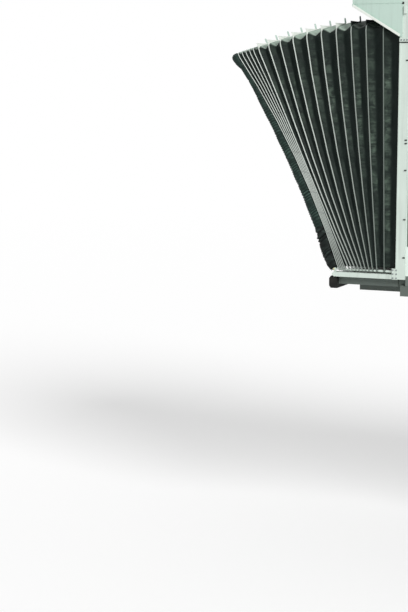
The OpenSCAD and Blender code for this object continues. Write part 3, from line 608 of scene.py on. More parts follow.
def ribbed_rubber(name, colour):
    """Floor rubber pressed in ribs 10 mm apart, drawn 30 mm apart so that they show.

    The eye gets a dusty black with fine lines that run along the bridge.
    """
    material, tree, coords = new_material(name)
    ribs = add_node(tree, "TexWave", {"Vector": coords, "Scale": 10.5}, bands_direction="Y")
    dust = add_node(tree, "TexNoise", {"Vector": coords, "Scale": 3.0, "Detail": 6.0})
    tone = add_node(tree, "Mix", {0: dust, 6: rgba(colour), 7: rgba(linear("#5b5d57"))},
                    data_type="RGBA")
    bump = add_node(tree, "Bump", {"Strength": 0.6, "Distance": 0.004, "Height": ribs.outputs["Fac"]})
    close_material(tree, Base_Color=tone, Roughness=0.75, Normal=bump, Specular_IOR_Level=0.25)
    return material


def float_glass(name):
    """Grey-green float glass.

    The eye gets a clear pane with a slight tint, sharp reflections, and dust that dulls them
    in places.
    """
    material, tree, coords = new_material(name)
    dust = add_node(tree, "TexNoise", {"Vector": coords, "Scale": 3.0, "Detail": 6.0})
    gloss = add_node(tree, "MapRange", {0: dust}, span=(0.4, 0.8, 0.02, 0.16))
    close_material(tree, Base_Color=rgba(linear("#8fa39f")), Roughness=gloss,
                   Transmission_Weight=0.85, IOR=1.45)
    return material


def make_finishes():
    """Makes every finish from the settings."""
    canopy = bpy.context.scene.bridge_canopy
    paint = bpy.context.scene.bridge_paint
    FINISH.update({
        # White enamel on walls and roofs: matt from the weather, with faint streaks
        "white_enamel": painted_steel("sprayed_white_enamel", paint.white,
                                      rust=0.6, grime=0.3, roughness=0.62),
        # The same enamel on posts and rails, where knocks let more rust through
        "post_enamel": painted_steel("chipped_white_enamel", paint.white,
                                     rust=1.0, grime=0.24, roughness=0.5),
        # Pale green enamel of the hood: newer, with few marks
        "hood_enamel": painted_steel("sprayed_pale_green_enamel", paint.hood,
                                     rust=0.3, grime=0.16, roughness=0.5),
        # Fresh white enamel on folded edges: the brightest lines of the bridge
        "edge_enamel": painted_steel("fresh_white_enamel", linear("#f0f5ee"),
                                     rust=0.0, grime=0.08, roughness=0.4),
        # Grey enamel on floors and running gear: dull, dirty and rusty
        "grey_enamel": painted_steel("sprayed_grey_enamel", paint.grey,
                                     rust=1.2, grime=0.5, roughness=0.58),
        # Yellow enamel on handrails: worn by hands, rusty at the joints
        "yellow_enamel": painted_steel("sprayed_yellow_enamel", paint.yellow,
                                       rust=1.2, grime=0.3, roughness=0.5),
        # Cream polyamide of the knobs: an even soft gloss under a little dirt
        "knob_plastic": painted_steel("moulded_cream_polyamide", linear("#d8d6ab"),
                                      rust=0.0, grime=0.2, roughness=0.45),
        # Coated cloth of the canopy: nearly black, with a grey-green painted highlight on the faces turned to the
        # lamp
        "canopy_cloth": coated_cloth("coated_polyester_cloth", canopy.cloth, canopy.lit_colour, 0.8),
        # Coated cloth of the pad: greener, with a painted highlight on the crest of each gather
        "pad_cloth": coated_cloth("gathered_coated_cloth", linear("#182622"), linear("#4f675e"), 0.7),
        # Coated cloth of the skirt: soot black, with a faint painted highlight on the gathers
        "skirt_cloth": coated_cloth("soot_black_coated_cloth", linear("#0f1413"), linear("#3d4a45"), 0.7),
        "bow_aluminium": mill_aluminium("weathered_aluminium_bar", canopy.bow),
        "zinc_steel": galvanised_steel("hot_dip_galvanised_steel"),
        # Vulcanised rubber of the tyres: matt, dust in every hollow
        "tyre_rubber": moulded_rubber("vulcanised_tyre_rubber", paint.rubber, 0.78),
        # Extruded rubber of seals and bumper: a little smoother than the tyres
        "seal_rubber": moulded_rubber("extruded_epdm_rubber", paint.rubber, 0.6),
        "ribbed_rubber": ribbed_rubber("ribbed_floor_rubber", paint.rubber),
        "glass": float_glass("tinted_float_glass"),
    })


# The finish of each solid
NODE_FINISH = {
    "post_enamel": ("portal_posts", "canopy_rails", "foot_rods", "portal_header"),
    "hood_enamel": ("canopy_hood",),
    "white_enamel": ("rotunda_curtains", "rotunda_roof", "terminal_collar", "inner_tunnel_walls",
                     "inner_tunnel_roof", "outer_tunnel_walls", "outer_tunnel_roof", "tunnel_collar",
                     "cab_walls", "cab_curtains", "cab_roof", "lift_frame"),
    "grey_enamel": ("base_column", "rotunda_floor", "inner_tunnel_floor", "outer_tunnel_floor",
                    "service_door", "wheel_carriage", "wheel_rims", "cab_floor"),
    "zinc_steel": ("lift_lower_tubes", "stair_landing", "stair_stringers", "stair_treads"),
    "yellow_enamel": ("stair_handrails",),
    "tyre_rubber": ("tyres", "stair_wheels"),
    "seal_rubber": ("bumper",),
    "bow_aluminium": tuple(f"bow_{k:02d}" for k in range(1, BOWS)) + ("lead_bow",),
    "canopy_cloth": ("canopy_fabric", "front_pad"),
    "glass": ("cab_glass",),
}


# Shape of the canopy


def bow_body(k):
    """The body that bow k moves with. Bow 0 is the portal itself."""
    return "bridge" if k == 0 else "lead_frame" if k == BOWS else f"bow_{k:02d}_frame"


def fold_ratio(k):
    """How far bow k turns, as a share of the lead bow's fold."""
    return 0.0 if k == 0 else 1.0 if k == BOWS else FOLD_RATIO[f"bow_{k:02d}_fold"]


def foot(k):
    """Distance from the portal to the pivot of bow k."""
    return 0.0 if k == 0 else FRONT_X - PIVOT[bow_body(k)].x


def lean(k):
    """Forward lean of bow k, in radians."""
    if k == 0:
        return 0.0
    if k <= SPREAD:
        u = ((k - 1) / (SPREAD - 1)) ** FAN_SKEW
        eased = FAN_LINEAR * u + (1 - FAN_LINEAR) * (3 * u * u - 2 * u ** 3)
        return math.radians(FIRST_LEAN + (SPREAD_LEAN - FIRST_LEAN) * eased)
    share = (k - SPREAD) / (BOWS - SPREAD)
    return math.radians(SPREAD_LEAN + (LEAD_LEAN - SPREAD_LEAN) * share)


def curve(k):
    """Depth of the curve in the side of bow k, forwards on the spread bows."""
    if k == 0:
        return 0.0
    if k <= SPREAD:
        return SPREAD_CURVE * math.sin(math.pi * ((k - 1) / (SPREAD - 1)) ** 1.3)
    return -LEAD_CURVE * (k - SPREAD + 1) / (BOWS - SPREAD + 1)


def bar_half(k):
    """Half the thickness of the bar of bow k."""
    return 0.0 if k == 0 else (BAR_T if k <= SPREAD else PACK_T) / 2


def side_x(k, h):
    """How far the side of bow k stands off its straight line at height h."""
    heights = [BOW_SIDE * i / KNOTS for i in range(KNOTS + 2)]
    offsets = [-curve(k) * 4 * i / KNOTS * (1 - i / KNOTS) for i in range(KNOTS + 2)]
    return np.interp(h, heights, offsets)


def outline(depth, low):
    """Corners of a hoop seen from the front, set in by a depth: (Y, height) from foot to foot."""
    def roof(y):
        return BOW_SIDE - depth + BOW_RISE * (1 - (y / (CANOPY_HALF - depth)) ** 2)
    radius = max(CORNER_R - depth, 0.004)
    centre_y = CANOPY_HALF - depth - radius
    last = math.radians(CORNER_TURN)
    end_y = centre_y + radius * math.cos(last)
    centre_h = roof(end_y) - radius * math.sin(last)
    half = [(CANOPY_HALF - depth, low)]
    half += [(CANOPY_HALF - depth, BOW_SIDE * i / KNOTS) for i in range(1, KNOTS)]
    half += [(centre_y + radius * math.cos(last * i / 2), centre_h + radius * math.sin(last * i / 2))
             for i in range(3)]
    half += [(end_y * (1 - i / 3), roof(end_y * (1 - i / 3))) for i in range(1, 4)]
    return np.array([(-y, h) for y, h in half] + [(y, h) for y, h in reversed(half[:-1])])


def hoop_line(step, low=CLOTH_FOOT):
    """Points along the hoop at a step, with the direction that leads inwards from each."""
    reach = 0.08
    outer, inner = outline(0.0, low), outline(reach, low)
    points, inwards = [], []
    for i in range(len(outer) - 1):
        count = max(1, round(float(np.linalg.norm(outer[i + 1] - outer[i])) / step))
        for t in np.arange(count) / count:
            points.append(outer[i] * (1 - t) + outer[i + 1] * t)
            inwards.append((inner[i] * (1 - t) + inner[i + 1] * t - points[-1]) / reach)
    points.append(outer[-1])
    inwards.append((inner[-1] - outer[-1]) / reach)
    return np.array(points), np.array(inwards)


def on_bow(k, across, y, h):
    """World points from the frame of bow k: across is rearwards from its middle line."""
    angle = lean(k)
    return np.stack([FRONT_X - foot(k) + across * math.cos(angle) - h * math.sin(angle),
                     y, PIVOT_Z + across * math.sin(angle) + h * math.cos(angle)], axis=-1)


def from_bow(k, points):
    """The opposite of on_bow: how far points stand behind the side of bow k."""
    away = np.asarray(points, float) - np.array([FRONT_X - foot(k), 0, PIVOT_Z])
    angle = lean(k)
    height = away[:, 2] * math.cos(angle) - away[:, 0] * math.sin(angle)
    across = away[:, 0] * math.cos(angle) + away[:, 2] * math.sin(angle)
    return across - side_x(k, height)


def grid_mesh(name, rows, values):
    """A sheet through rows of points, with named values at each point."""
    count, width = rows.shape[:2]
    faces = [(i * width + j, i * width + j + 1, (i + 1) * width + j + 1, (i + 1) * width + j)
             for i in range(count - 1) for j in range(width - 1)]
    mesh = bpy.data.meshes.new(name)
    mesh.from_pydata(rows.reshape(-1, 3).tolist(), [], faces)
    for key, value in values.items():
        mesh.attributes.new(key, "FLOAT", "POINT").data.foreach_set(
            "value", np.asarray(value, np.float32).ravel())
    obj = bpy.data.objects.new(name, mesh)
    bpy.context.scene.collection.objects.link(obj)
    return obj


def noise_grid(scale_along, scale_across, along, across, seed, lean=0.0):
    """Perlin noise over a sheet, from -1 to 1, drawn aslant by a lean."""
    return np.array([[noise.noise(Vector(((a + lean * b) * scale_along, b * scale_across, seed * 7.31)))
                      for b in across] for a in along])


def pleat_depth(k, gap, noises):
    """How deep the cloth of pleat k lies under the hoop, at each point along and across it."""
    bulge, fine, sharp, hold = noises
    u = PLEAT_STEPS
    near = np.where(u < VALLEY, u / VALLEY, (1 - u) / (1 - VALLEY))
    profile = 1 - np.sqrt((1 - near) ** 2 + 0.004) + 0.063 * (1 - near)
    belly = 4 * near * (1 - near)
    if k < SPREAD:
        fold = (0.26 + 0.12 * k / 9) * gap
    else:
        fold = np.maximum(0.42 * gap, np.minimum(0.016, 1.1 * gap))
    wrinkle = bpy.context.scene.bridge_canopy.wrinkle
    depth = (CLOTH_EDGE + fold[:, None] * profile[None, :] * (1 + 0.12 * bulge)
             + hold * wrinkle * (0.45 * bulge + 0.6 * fine - 0.55 * sharp)
             + 0.004 * hold * belly[None, :])
    return np.maximum(depth, CLOTH_EDGE)


def pleat_painted_light(k, h, bulge, sharp):
    """Painted light and shade on pleat k: a highlight on the faces turned to the lamp, a sky reflection on the
    roof.
    """
    # Painted shade: the pale strip fades near the roof, and low down too, the sooner the further from the portal
    strip_foot = 2.05 - 2.6 * math.exp(-k / 2.6)
    fresh = np.clip(1 - (h - 2.2) / 0.7, 0.35, 1) * np.clip(0.2 + (h - strip_foot) / 0.9, 0.2, 1)
    # Painted shade: the packed pleats, narrow and deep, keep a quarter of the highlight
    fresh = fresh[:, None] * (0.25 if k >= SPREAD else 1.0)
    # Painted highlight: the face from the valley forward to the front bow turns to the key lamp
    front_face = np.clip((PLEAT_STEPS - VALLEY + 0.02) / 0.16, 0, 1)[None, :]
    painted_light = np.clip(front_face * (0.8 + 0.55 * bulge - 0.3 * sharp) * fresh, 0, 1)
    # Painted shade: under the hood the roof of the cloth gets little of the painted sky reflection
    sunny = 0.2 if k < 3 else 1.0
    roof = np.clip((h - ROOF_FROM) / 0.02, 0, 1)[:, None]
    return painted_light, np.broadcast_to(sunny * roof, painted_light.shape)


def pleat(k):
    """The cloth from bow k forward to the next bow: two faces that meet in a soft valley."""
    points, inwards = hoop_line(bpy.context.scene.bridge_canopy.grid)
    along = np.concatenate([[0], np.cumsum(np.linalg.norm(np.diff(points, axis=0), axis=1))])
    rear_x, front_x = -(bar_half(k) + BAR_ROOM), bar_half(k + 1) + BAR_ROOM
    y, h = points[:, 0], points[:, 1]
    rear = on_bow(k, side_x(k, h) + rear_x, y, h)
    front = on_bow(k + 1, side_x(k + 1, h) + front_x, y, h)
    gap = np.linalg.norm(front - rear, axis=1)
    u = PLEAT_STEPS
    bulge = noise_grid(3.2, 1.3, along, u, k + 1)
    fine = noise_grid(9.5, 2.0, along, u, k + 40) + 0.55 * noise_grid(21.0, 3.0, along, u, k + 80)
    sharp = 1 - 2 * np.abs(noise_grid(7.0, 2.4, along, u, k + 120, lean=0.16))
    # The bars hold the cloth still at its edges, and a narrow pleat has no room for wrinkles
    from_edge = np.where(u < VALLEY, u / VALLEY, (1 - u) / (1 - VALLEY))
    hold = np.minimum(1, 6 * from_edge)[None, :] * np.minimum(1.0, gap / 0.11)[:, None]
    depth = pleat_depth(k, gap, (bulge, fine, sharp, hold))
    slide = hold * 0.01 * (bulge + 0.4 * fine)
    rows, places = [], []
    for i, part in enumerate(u):
        yy = y + inwards[:, 0] * depth[:, i]
        hh = h + inwards[:, 1] * depth[:, i]
        a = on_bow(k, side_x(k, h) + rear_x, yy, hh)
        b = on_bow(k + 1, side_x(k + 1, h) + front_x, yy, hh)
        inside = 1.0 if 0 < part < 1 else 0.0
        t = np.clip(part + inside * slide[:, i] / np.maximum(gap, 0.02), 0, 1)
        places.append(t)
        rows.append(a + (b - a) * t[:, None])
    sheet_rows = np.stack(rows, axis=1)
    painted_light, sun = pleat_painted_light(k, h, bulge, sharp)
    low, high = fold_ratio(k), fold_ratio(k + 1)
    turn = (low + (high - low) * np.stack(places, axis=1)) / high
    obj = grid_mesh(f"pleat_{k:02d}", sheet_rows, {"painted_light": painted_light, "sun": sun, "fold_share": turn})
    apply_modifier(obj, "SOLIDIFY", thickness=CLOTH_T, offset=-1.0)
    settle(obj, obj.name, "canopy_cloth", body=None)
    bpy.ops.object.shade_smooth()
    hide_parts("canopy_fabric")
    if low == high:
        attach(obj, bow_body(k + 1))
        return
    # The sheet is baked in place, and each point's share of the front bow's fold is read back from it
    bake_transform(obj)
    turns = np.zeros(len(obj.data.vertices), np.float32)
    obj.data.attributes["fold_share"].data.foreach_get("value", turns)


def settle_cloth(obj, growth, cap):
    """Cloth simulation: the cover, cut larger than its core, settles over it under pressure.

    The face that is laced to the bow is held, and no point goes further than the cap.
    """
    start = np.array([v.co for v in obj.data.vertices])
    laced = from_bow(BOWS, start) > -PAD_LACED
    held = obj.vertex_groups.new(name="held")
    held.add([int(i) for i in np.nonzero(laced)[0]], 1.0, "REPLACE")
    activate(obj)
    cloth = obj.modifiers.new("Cloth", "CLOTH")
    rules = cloth.settings
    rules.quality = 4
    rules.mass = 0.1
    rules.tension_stiffness = rules.compression_stiffness = 8
    rules.shear_stiffness = 4
    rules.bending_stiffness = 0.05
    rules.use_pressure = True
    rules.uniform_pressure_force = 4
    rules.shrink_min = -growth
    rules.vertex_group_mass = "held"
    rules.effector_weights.gravity = 0
    cloth.collision_settings.use_collision = False
    cloth.point_cache.frame_start, cloth.point_cache.frame_end = 1, CLOTH_FRAMES
    for step in range(1, CLOTH_FRAMES + 1):
        bpy.context.scene.frame_set(step)
    bpy.ops.object.modifier_apply(modifier=cloth.name)
    bpy.context.scene.frame_set(1)
    ends = np.array([v.co for v in obj.data.vertices])
    if not np.isfinite(ends).all():
        raise RuntimeError("the cloth of the pad did not settle")
    move = ends - start
    far = np.linalg.norm(move, axis=1, keepdims=True)
    ends = start + move * np.minimum(1, cap / np.maximum(far, 1e-9))
    over = np.maximum(from_bow(BOWS, ends) + PAD_BACK, 0)
    ends[:, 0] -= over * math.cos(lean(BOWS))
    ends[:, 2] -= over * math.sin(lean(BOWS))
    obj.data.vertices.foreach_set("co", ends.astype(np.float32).ravel())
    obj.data.update()
    obj.vertex_groups.clear()


def close_roll(obj):
    """Closes the two ends of a roll and turns its faces outwards."""
    activate(obj)
    with edit_mode():
        bpy.ops.mesh.select_all(action="SELECT")
        bpy.ops.mesh.remove_doubles(threshold=0.00001)
        bpy.ops.mesh.select_all(action="DESELECT")
        bpy.ops.mesh.select_non_manifold()
        bpy.ops.mesh.fill_holes(sides=0)
        face_outwards()


def pad_roll(name, finish, low, high, thick, depth, gather, loose, swell):
    """Part of the soft roll on the lead bow: gathered cloth round a foam core.

    thick and depth are (height, size) tables, gather is the pitch of the folds, loose is how
    uneven they are, and swell is (height, size) of how far they stand out. A roll with a high
    end is made twice, once for each foot of the bow.
    """
    points, inwards = hoop_line(gather / 6, low=low)
    whole = points[:, 1] >= low if high is None else points[:, 1] <= high
    parts = [whole] if high is None else [whole & (points[:, 0] < 0), whole & (points[:, 0] > 0)]
    made = []
    for part in parts:
        y, h, inward = points[part, 0], points[part, 1], inwards[part]
        along = np.concatenate([[0], np.cumsum(np.hypot(np.diff(y), np.diff(h)))])
        size_x, size_d = np.interp(h, *zip(*thick)), np.interp(h, *zip(*depth))
        rise = np.interp(h, *zip(*swell))
        drift = loose * gather * (noise_grid(6.0, 1.0, along, [0.0], 5)[:, 0]
                                  + 0.4 * noise_grid(17.0, 1.0, along, [0.0], 6)[:, 0])
        patch = 0.6 + (0.5 + 0.5 * loose) * noise_grid(8.0, 1.0, along, [0.0], 3)[:, 0]
        ends = np.minimum(1, np.minimum(along, along[-1] - along) / 0.03 + 0.55)
        rows, light = [], []
        for i in range(ROLL_SIDES):
            angle = math.tau * i / ROLL_SIDES
            c, s = math.cos(angle), math.sin(angle)
            square = (abs(c) ** ROLL_SQUARE + abs(s) ** ROLL_SQUARE) ** (-1 / ROLL_SQUARE)
            aslant = (0.008 * loose * math.sin(2 * angle)
                      + 0.012 * loose * noise_grid(3.0, 1.0, along, [i * 0.25], 19)[:, 0])
            wave = np.sin(math.tau * (along + drift + aslant) / gather) * patch
            lump = noise_grid(6.0, 1.0, along, [i * 0.3], 11)[:, 0]
            reach = square * ends
            across = -(PAD_BACK + size_x / 2) - c * reach * (size_x / 2 + rise * wave + 0.004 * lump)
            inset = size_d / 2 - s * reach * (size_d / 2 - 0.002 + rise * wave + 0.004 * lump)
            across = np.minimum(across, -PAD_BACK)
            rows.append(on_bow(BOWS, side_x(BOWS, h) + across, y + inward[:, 0] * inset,
                               h + inward[:, 1] * inset))
            # Painted highlight on the crest of each gather, broken by random lumps
            light.append(np.clip(0.3 + 0.55 * wave * (rise > 0.001) + 0.2 * lump, 0, 1))
        roll = grid_mesh(name, np.stack(rows + rows[:1], axis=1),
                         {"painted_light": np.stack(light + light[:1], axis=1)})
        close_roll(roll)
        made.append(roll)
    roll = join(*made)
    settle_cloth(roll, growth=0.05 + 0.03 * loose, cap=0.006 + 0.004 * loose)
    settle(roll, name, finish, body="lead_frame")
    bpy.ops.object.shade_smooth()
    return roll


def front_pad_cover():
    """The gathered roll on the lead bow, and the black skirt that hangs at each foot of it."""
    pitch = bpy.context.scene.bridge_canopy.gather
    cover = pad_roll("front_pad_cover", "pad_cloth", low=0.56, high=None, gather=pitch, loose=0.7,
                     thick=((0.5, 0.126), (1.4, 0.118), (2.1, 0.096), (2.6, 0.062), (2.77, 0.064),
                            (2.85, 0.092), (2.97, 0.1), (3.1, 0.092)),
                     depth=((0.5, 0.13), (2.6, 0.12), (3.0, 0.11)),
                     swell=((0.5, 0.0045), (1.9, 0.004), (2.3, 0.0012), (2.5, 0.0)))
    skirt = pad_roll("pad_skirt", "skirt_cloth", low=0.035, high=0.585, gather=1.5 * pitch, loose=1.6,
                     thick=((0.0, 0.1), (0.1, 0.125), (0.3, 0.142), (0.5, 0.128), (0.6, 0.12)),
                     depth=((0.0, 0.1), (0.15, 0.126), (0.6, 0.124)),
                     swell=((0.0, 0.004), (0.15, 0.01), (0.5, 0.008), (0.6, 0.003)))
    for piece, fill in ((cover, 0.7), (skirt, 0.4)):
        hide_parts("front_pad")


# Trim


def post_block(x, y, z, bevel, segments=1):
    """A block by the portal post: X and Y from the post's outer front edge, and Z from the ground."""
    return block((FRONT_X + x[0], PORTAL_HALF + y[0], z[0]), (FRONT_X + x[1], PORTAL_HALF + y[1], z[1]),
                 bevel, segments)


def lay_mats(name, areas):
    """Floor mats, one for each (low X, high X, half width, floor level)."""
    mats = [block((low, -half, floor - SKIN), (high, half, floor + MAT_T), 0.002)
            for low, high, half, floor in areas]
    settle(join(*mats), name, "ribbed_rubber")


def bow_roof(y):
    """Height of the top of a bow over its pivot."""
    inset = 0.0045
    return BOW_SIDE - inset + BOW_RISE * (1 - (y / (CANOPY_HALF - inset)) ** 2)


def bow_point(k, y):
    """A place on the top of bow k, as a turn with Z up the bow."""
    place = on_bow(k, float(side_x(k, bow_roof(y))), y, bow_roof(y))
    return Matrix.Translation(place.tolist()) @ Matrix.Rotation(-lean(k), 4, "Y")


def corner_wedge():
    """The channel that levels the roof of a bow at its corner, flat as yet, cut so that it can bend."""
    inner, outer = PEG_Y - 0.012, WEDGE_END
    flanges = [block((-0.005, inner, z), (0.005, outer, z + 0.006), 0.0015)
               for z in (0.0, 0.5 * WEDGE_H - 0.003, WEDGE_H - 0.006)]
    web = join(block((-0.003, inner, 0), (0.003, outer, WEDGE_H), 0.001), *flanges)
    activate(web)
    with edit_mode():
        for y in np.linspace(inner + 0.03, outer - 0.03, 7):
            bpy.ops.mesh.select_all(action="SELECT")
            bpy.ops.mesh.bisect(plane_co=(0, y, 0), plane_no=(0, 1, 0))
    return mirrored(web)


def bend_on_roof(master, k):
    """A copy of the wedges with their foot on the roof of bow k and their top level."""
    obj = stamp(master, [Matrix()], keep=True)
    x, y, z = np.array([v.co for v in obj.data.vertices]).T
    # The foot follows the roof and drops with the rounded corner
    foot_h = bow_roof(y) - 0.55 * np.maximum(np.abs(y) - 1.5155, 0) - 0.002
    top_h = np.maximum(bow_roof(WEDGE_END) + WEDGE_H, foot_h + 0.012)
    height = foot_h + (top_h - foot_h) * z / WEDGE_H
    bent = on_bow(k, side_x(k, bow_roof(y)) + x, y, height)
    obj.data.vertices.foreach_set("co", bent.astype(np.float32).ravel())
    return obj


def bow_fittings():
    """The wedges and lugs on the roof of each spread bow, and the rivets that clamp the cloth."""
    wedge = corner_wedge()
    stem = block((-0.005, -0.019, -0.003), (0.005, 0.019, 0.048))
    pick_faces(stem, lambda face: face.normal.z > 0.9)
    with edit_mode():
        bpy.ops.mesh.extrude_region_move(TRANSFORM_OT_translate={"value": (0, 0, 0.014)})
        bpy.ops.transform.resize(value=(1, 0.6, 1))
    apply_modifier(stem, "BEVEL", width=0.0015, segments=1, limit_method="ANGLE")
    lift = Matrix.Translation((0, 0, 0.008))
    head = rivet(0.0045)
    pitch = 0.27
    for k in range(1, BOWS + 1):
        places = []
        for h in np.arange(0.2, 2.9, pitch):
            spot = on_bow(k, float(side_x(k, h)), 0, h)
            for side in (-1, 1):
                spot[1] = side * (CANOPY_HALF - 0.0047)
                places.append(facing((0, side, 0), spot.tolist()))
        for y in np.arange(-1.35, 1.36, pitch):
            places.append(bow_point(k, float(y)))
        settle(stamp(head, places, keep=True), f"bow_rivets_{k:02d}", "zinc_steel", body=bow_body(k))
        if k > SPREAD:
            continue
        # Painted shade: the three next to the portal, in the hood's shade, get the dark cloth finish and zinc
        # lugs; the others get pale enamel
        shaded = k <= 3
        settle(bend_on_roof(wedge, k), f"corner_wedges_{k:02d}",
               "canopy_cloth" if shaded else "edge_enamel", body=bow_body(k))
        lugs = stamp(stem, [bow_point(k, y) @ lift for y in (-PEG_Y, PEG_Y)], keep=True)
        settle(lugs, f"roof_lugs_{k:02d}", "zinc_steel" if shaded else "hood_enamel", body=bow_body(k))
    for master in (wedge, stem, head):
        bpy.data.objects.remove(master)


def hook(radius, wire, turn):
    """A bent wire in the XZ plane, its bend round the origin."""
    deselect()
    bpy.ops.mesh.primitive_circle_add(vertices=8, radius=wire, location=(radius, 0, 0), fill_type="NGON")
    obj = bpy.context.object
    bpy.ops.object.transform_apply()
    with edit_mode():
        bpy.ops.mesh.select_all(action="SELECT")
        bpy.ops.mesh.spin(steps=10, angle=math.radians(turn), center=(0, 0, 0), axis=(0, 1, 0))
        face_outwards()
    return obj


def hood_trim():
    """Gutter, lip and rivets of the hood."""
    low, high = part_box("canopy_hood")
    tip, plate, drop = low.x, PORTAL_HALF + 0.012, 0.36
    gutter = join(
        block((tip, PORTAL_HALF, high.z - 0.002), (FRONT_X, plate, high.z + 0.03), 0.002),
        block((tip + 0.04, plate - 0.002, low.z + 0.352), (tip + 0.052, plate + 0.004, high.z), 0.0015),
        block((tip, plate - 0.002, high.z - 0.026),
              (FRONT_X + 0.03, plate + 0.005, high.z - 0.016), 0.0015))
    front = block((tip - 0.002, -plate - 0.001, high.z - 0.003),
                  (tip + 0.01, plate + 0.001, high.z + 0.031), 0.002)
    settle(join(mirrored(gutter), front), "hood_gutter", "hood_enamel")

    edge = Vector((FRONT_X - tip, 0, -drop))
    lip = block((0, plate + 0.018, -0.001), (edge.length, plate + 0.023, 0.029), 0.002)
    slope = Matrix.Rotation(math.atan2(drop, edge.x), 4, "Y")
    moved(lip, Matrix.Translation((tip, 0, low.z + drop)) @ slope)
    settle(mirrored(lip), "hood_lip", "edge_enamel")

    heads = row((tip + 0.02, plate, low.z + 0.395), (FRONT_X - 0.02, plate, low.z + 0.052), 0.055)
    heads += row((tip + 0.07, plate, high.z - 0.04), (FRONT_X + 0.015, plate, high.z - 0.04), 0.075)
    settle(mirrored(heads_on_face(rivet(0.005), heads, (0, 1, 0))), "hood_rivets", "hood_enamel")


def post_trim():
    """Strips, clips and bolts of the posts, and the brackets that hold the rails to them."""
    joint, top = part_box("canopy_hood")[0].z - 0.07, PORTAL_HIGH.z
    strips = join(
        post_block((-0.004, 0.018), (-0.004, 0.004), (FLOOR_Z - 0.03, joint), 0.0015),
        post_block((-0.005, 0.115), (-0.12, 0.007), (joint + 0.006, joint + 0.05), 0.002),
        post_block((-0.006, 0.116), (-0.126, 0.006), (top - 0.012, top + 0.004), 0.003),
        post_block((0.05, 0.085), (-0.002, 0.03), (top - 0.24, top - 0.145), 0.005, 2))
    settle(mirrored(strips), "post_strips", "post_enamel")

    line = join(post_block((-0.006, 0.116), (-0.122, 0.008), (joint - 0.006, joint + 0.006), 0.002),
                moved(turned(0.0145, 0.014, 0.003, 16),
                      facing((0, 1, 0), (FRONT_X + 0.033, PORTAL_HALF, top - 0.115))))
    clips = [post_block((0.082, 0.112), (-SKIN, 0.011), (FLOOR_Z + dz, FLOOR_Z + dz + 0.014), 0.003)
             for dz in (2.57, 1.63, 1.59, 1.27, 0.68, 0.22)]
    settle(mirrored(join(line, *clips)), "post_clips", "seal_rubber")

    bracket = post_block((-0.05, 0.022), (0, 0.006), (FLOOR_Z - 0.043, FLOOR_Z + 0.092), 0.002)
    settle(mirrored(bracket), "rail_bracket", "post_enamel")
    bolts = [Vector((FRONT_X + x, PORTAL_HALF + 0.007, joint + 0.028)) for x in (0.02, 0.055, 0.09)]
    bolts += [Vector((FRONT_X + x, PORTAL_HALF + 0.006, FLOOR_Z + dz))
              for x in (-0.036, 0.008) for dz in (-0.025, 0.025, 0.072)]
    settle(mirrored(heads_on_face(hex_bolt(0.0075, 0.006), bolts, (0, 1, 0))), "portal_bolts", "zinc_steel")


def rail_trim():
    """Knobs on the ends of the foot rods, and a wire catch at the tip of each rail."""
    knob_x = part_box("foot_rods")[0].x + 0.022
    knob = moved(turned(0.019, 0.02, 0.005, 20),
                 facing((-1, 0, 0), (knob_x, PORTAL_HALF - 0.0325, PIVOT_Z)))
    settle(mirrored(knob), "rod_knobs", "knob_plastic", smooth=35)

    tip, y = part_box("canopy_rails")[0].x, PORTAL_HALF - 0.03
    catch = moved(hook(0.022, 0.0035, 200), Matrix.Translation((tip + 0.012, y, FLOOR_Z + 0.028)))
    stay = block((tip + 0.028, y - 0.004, FLOOR_Z + 0.012),
                 (tip + 0.034, y + 0.004, FLOOR_Z + 0.035), 0.001)
    settle(mirrored(join(catch, stay)), "rail_catch", "zinc_steel", smooth=40)


def portal_trim():
    """The trim of the hood, the posts and the rails."""
    hood_trim()
    post_trim()
    rail_trim()


def bumper_trim():
    """Bolts and end caps of the bumper, and the scuff plates on the edge of the platform behind it."""
    low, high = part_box("bumper")
    bolts = [Vector((low.x - SKIN, y, FLOOR_Z + dz)) for y in np.arange(-1.45, 1.46, 0.29)
             for dz in (-0.08, -0.15)]
    settle(heads_on_face(hex_bolt(0.011, 0.006), bolts, (-1, 0, 0)), "bumper_bolts", "zinc_steel")
    cap = block((low.x + 0.012, high.y - SKIN, low.z + 0.01),
                (high.x - 0.006, high.y + 0.006, high.z - 0.01), 0.006, 2)
    settle(mirrored(cap), "bumper_caps", "seal_rubber")
    edge, plate_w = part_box("cab_floor")[0].x, 0.55
    plates = [block((edge + 0.006, y, FLOOR_Z - SKIN), (edge + 0.13, y + plate_w, FLOOR_Z + 0.004), 0.0015)
              for y in np.arange(-1.39, 1.0, plate_w + 0.01)]
    settle(join(*plates), "threshold_plates", "zinc_steel")


def cab_windows():
    """Frames inside and outside of each pane, the gasket between them, and the bar of the large one."""
    sill, height = FLOOR_Z + 0.39, 1.33
    middle = sill + height / 2
    front, back = FRONT_X + 0.53, CAB_X - 0.14
    width = back - front
    side_place = Vector(((front + back) / 2, CAB_SIDE, middle))
    corner_place = Vector((FRONT_X + 0.25, CAB_SIDE + 0.14, middle))
    frames, gaskets = [], []
    for ring_w, spot, along in ((width, side_place, Vector((-1, 0, 0))),
                                (0.306, corner_place, Vector((-1, 1, 0)))):
        out = along.normalized().cross(Vector((0, 0, 1)))
        frames.append(stamp(frame_ring(ring_w, height, 0.032, 0.012),
                            [placed(spot - out * 0.002, along, (0, 0, 1)),
                             placed(spot - out * 0.058, -along, (0, 0, 1))]))
        gaskets.append(stamp(frame_ring(ring_w - 0.04, height - 0.04, 0.02, 0.024),
                             [placed(spot - out * 0.042, along, (0, 0, 1))]))
    bar = block((-width / 2, -0.016, -0.018), (width / 2, 0.016, 0.018), 0.003)
    bar = stamp(bar, [Matrix.Translation(side_place + Vector((0, -0.03, -0.22)))])
    settle(mirrored(join(*frames, bar)), "cab_window_frames", "bow_aluminium")
    settle(mirrored(join(*gaskets)), "cab_window_gaskets", "seal_rubber")


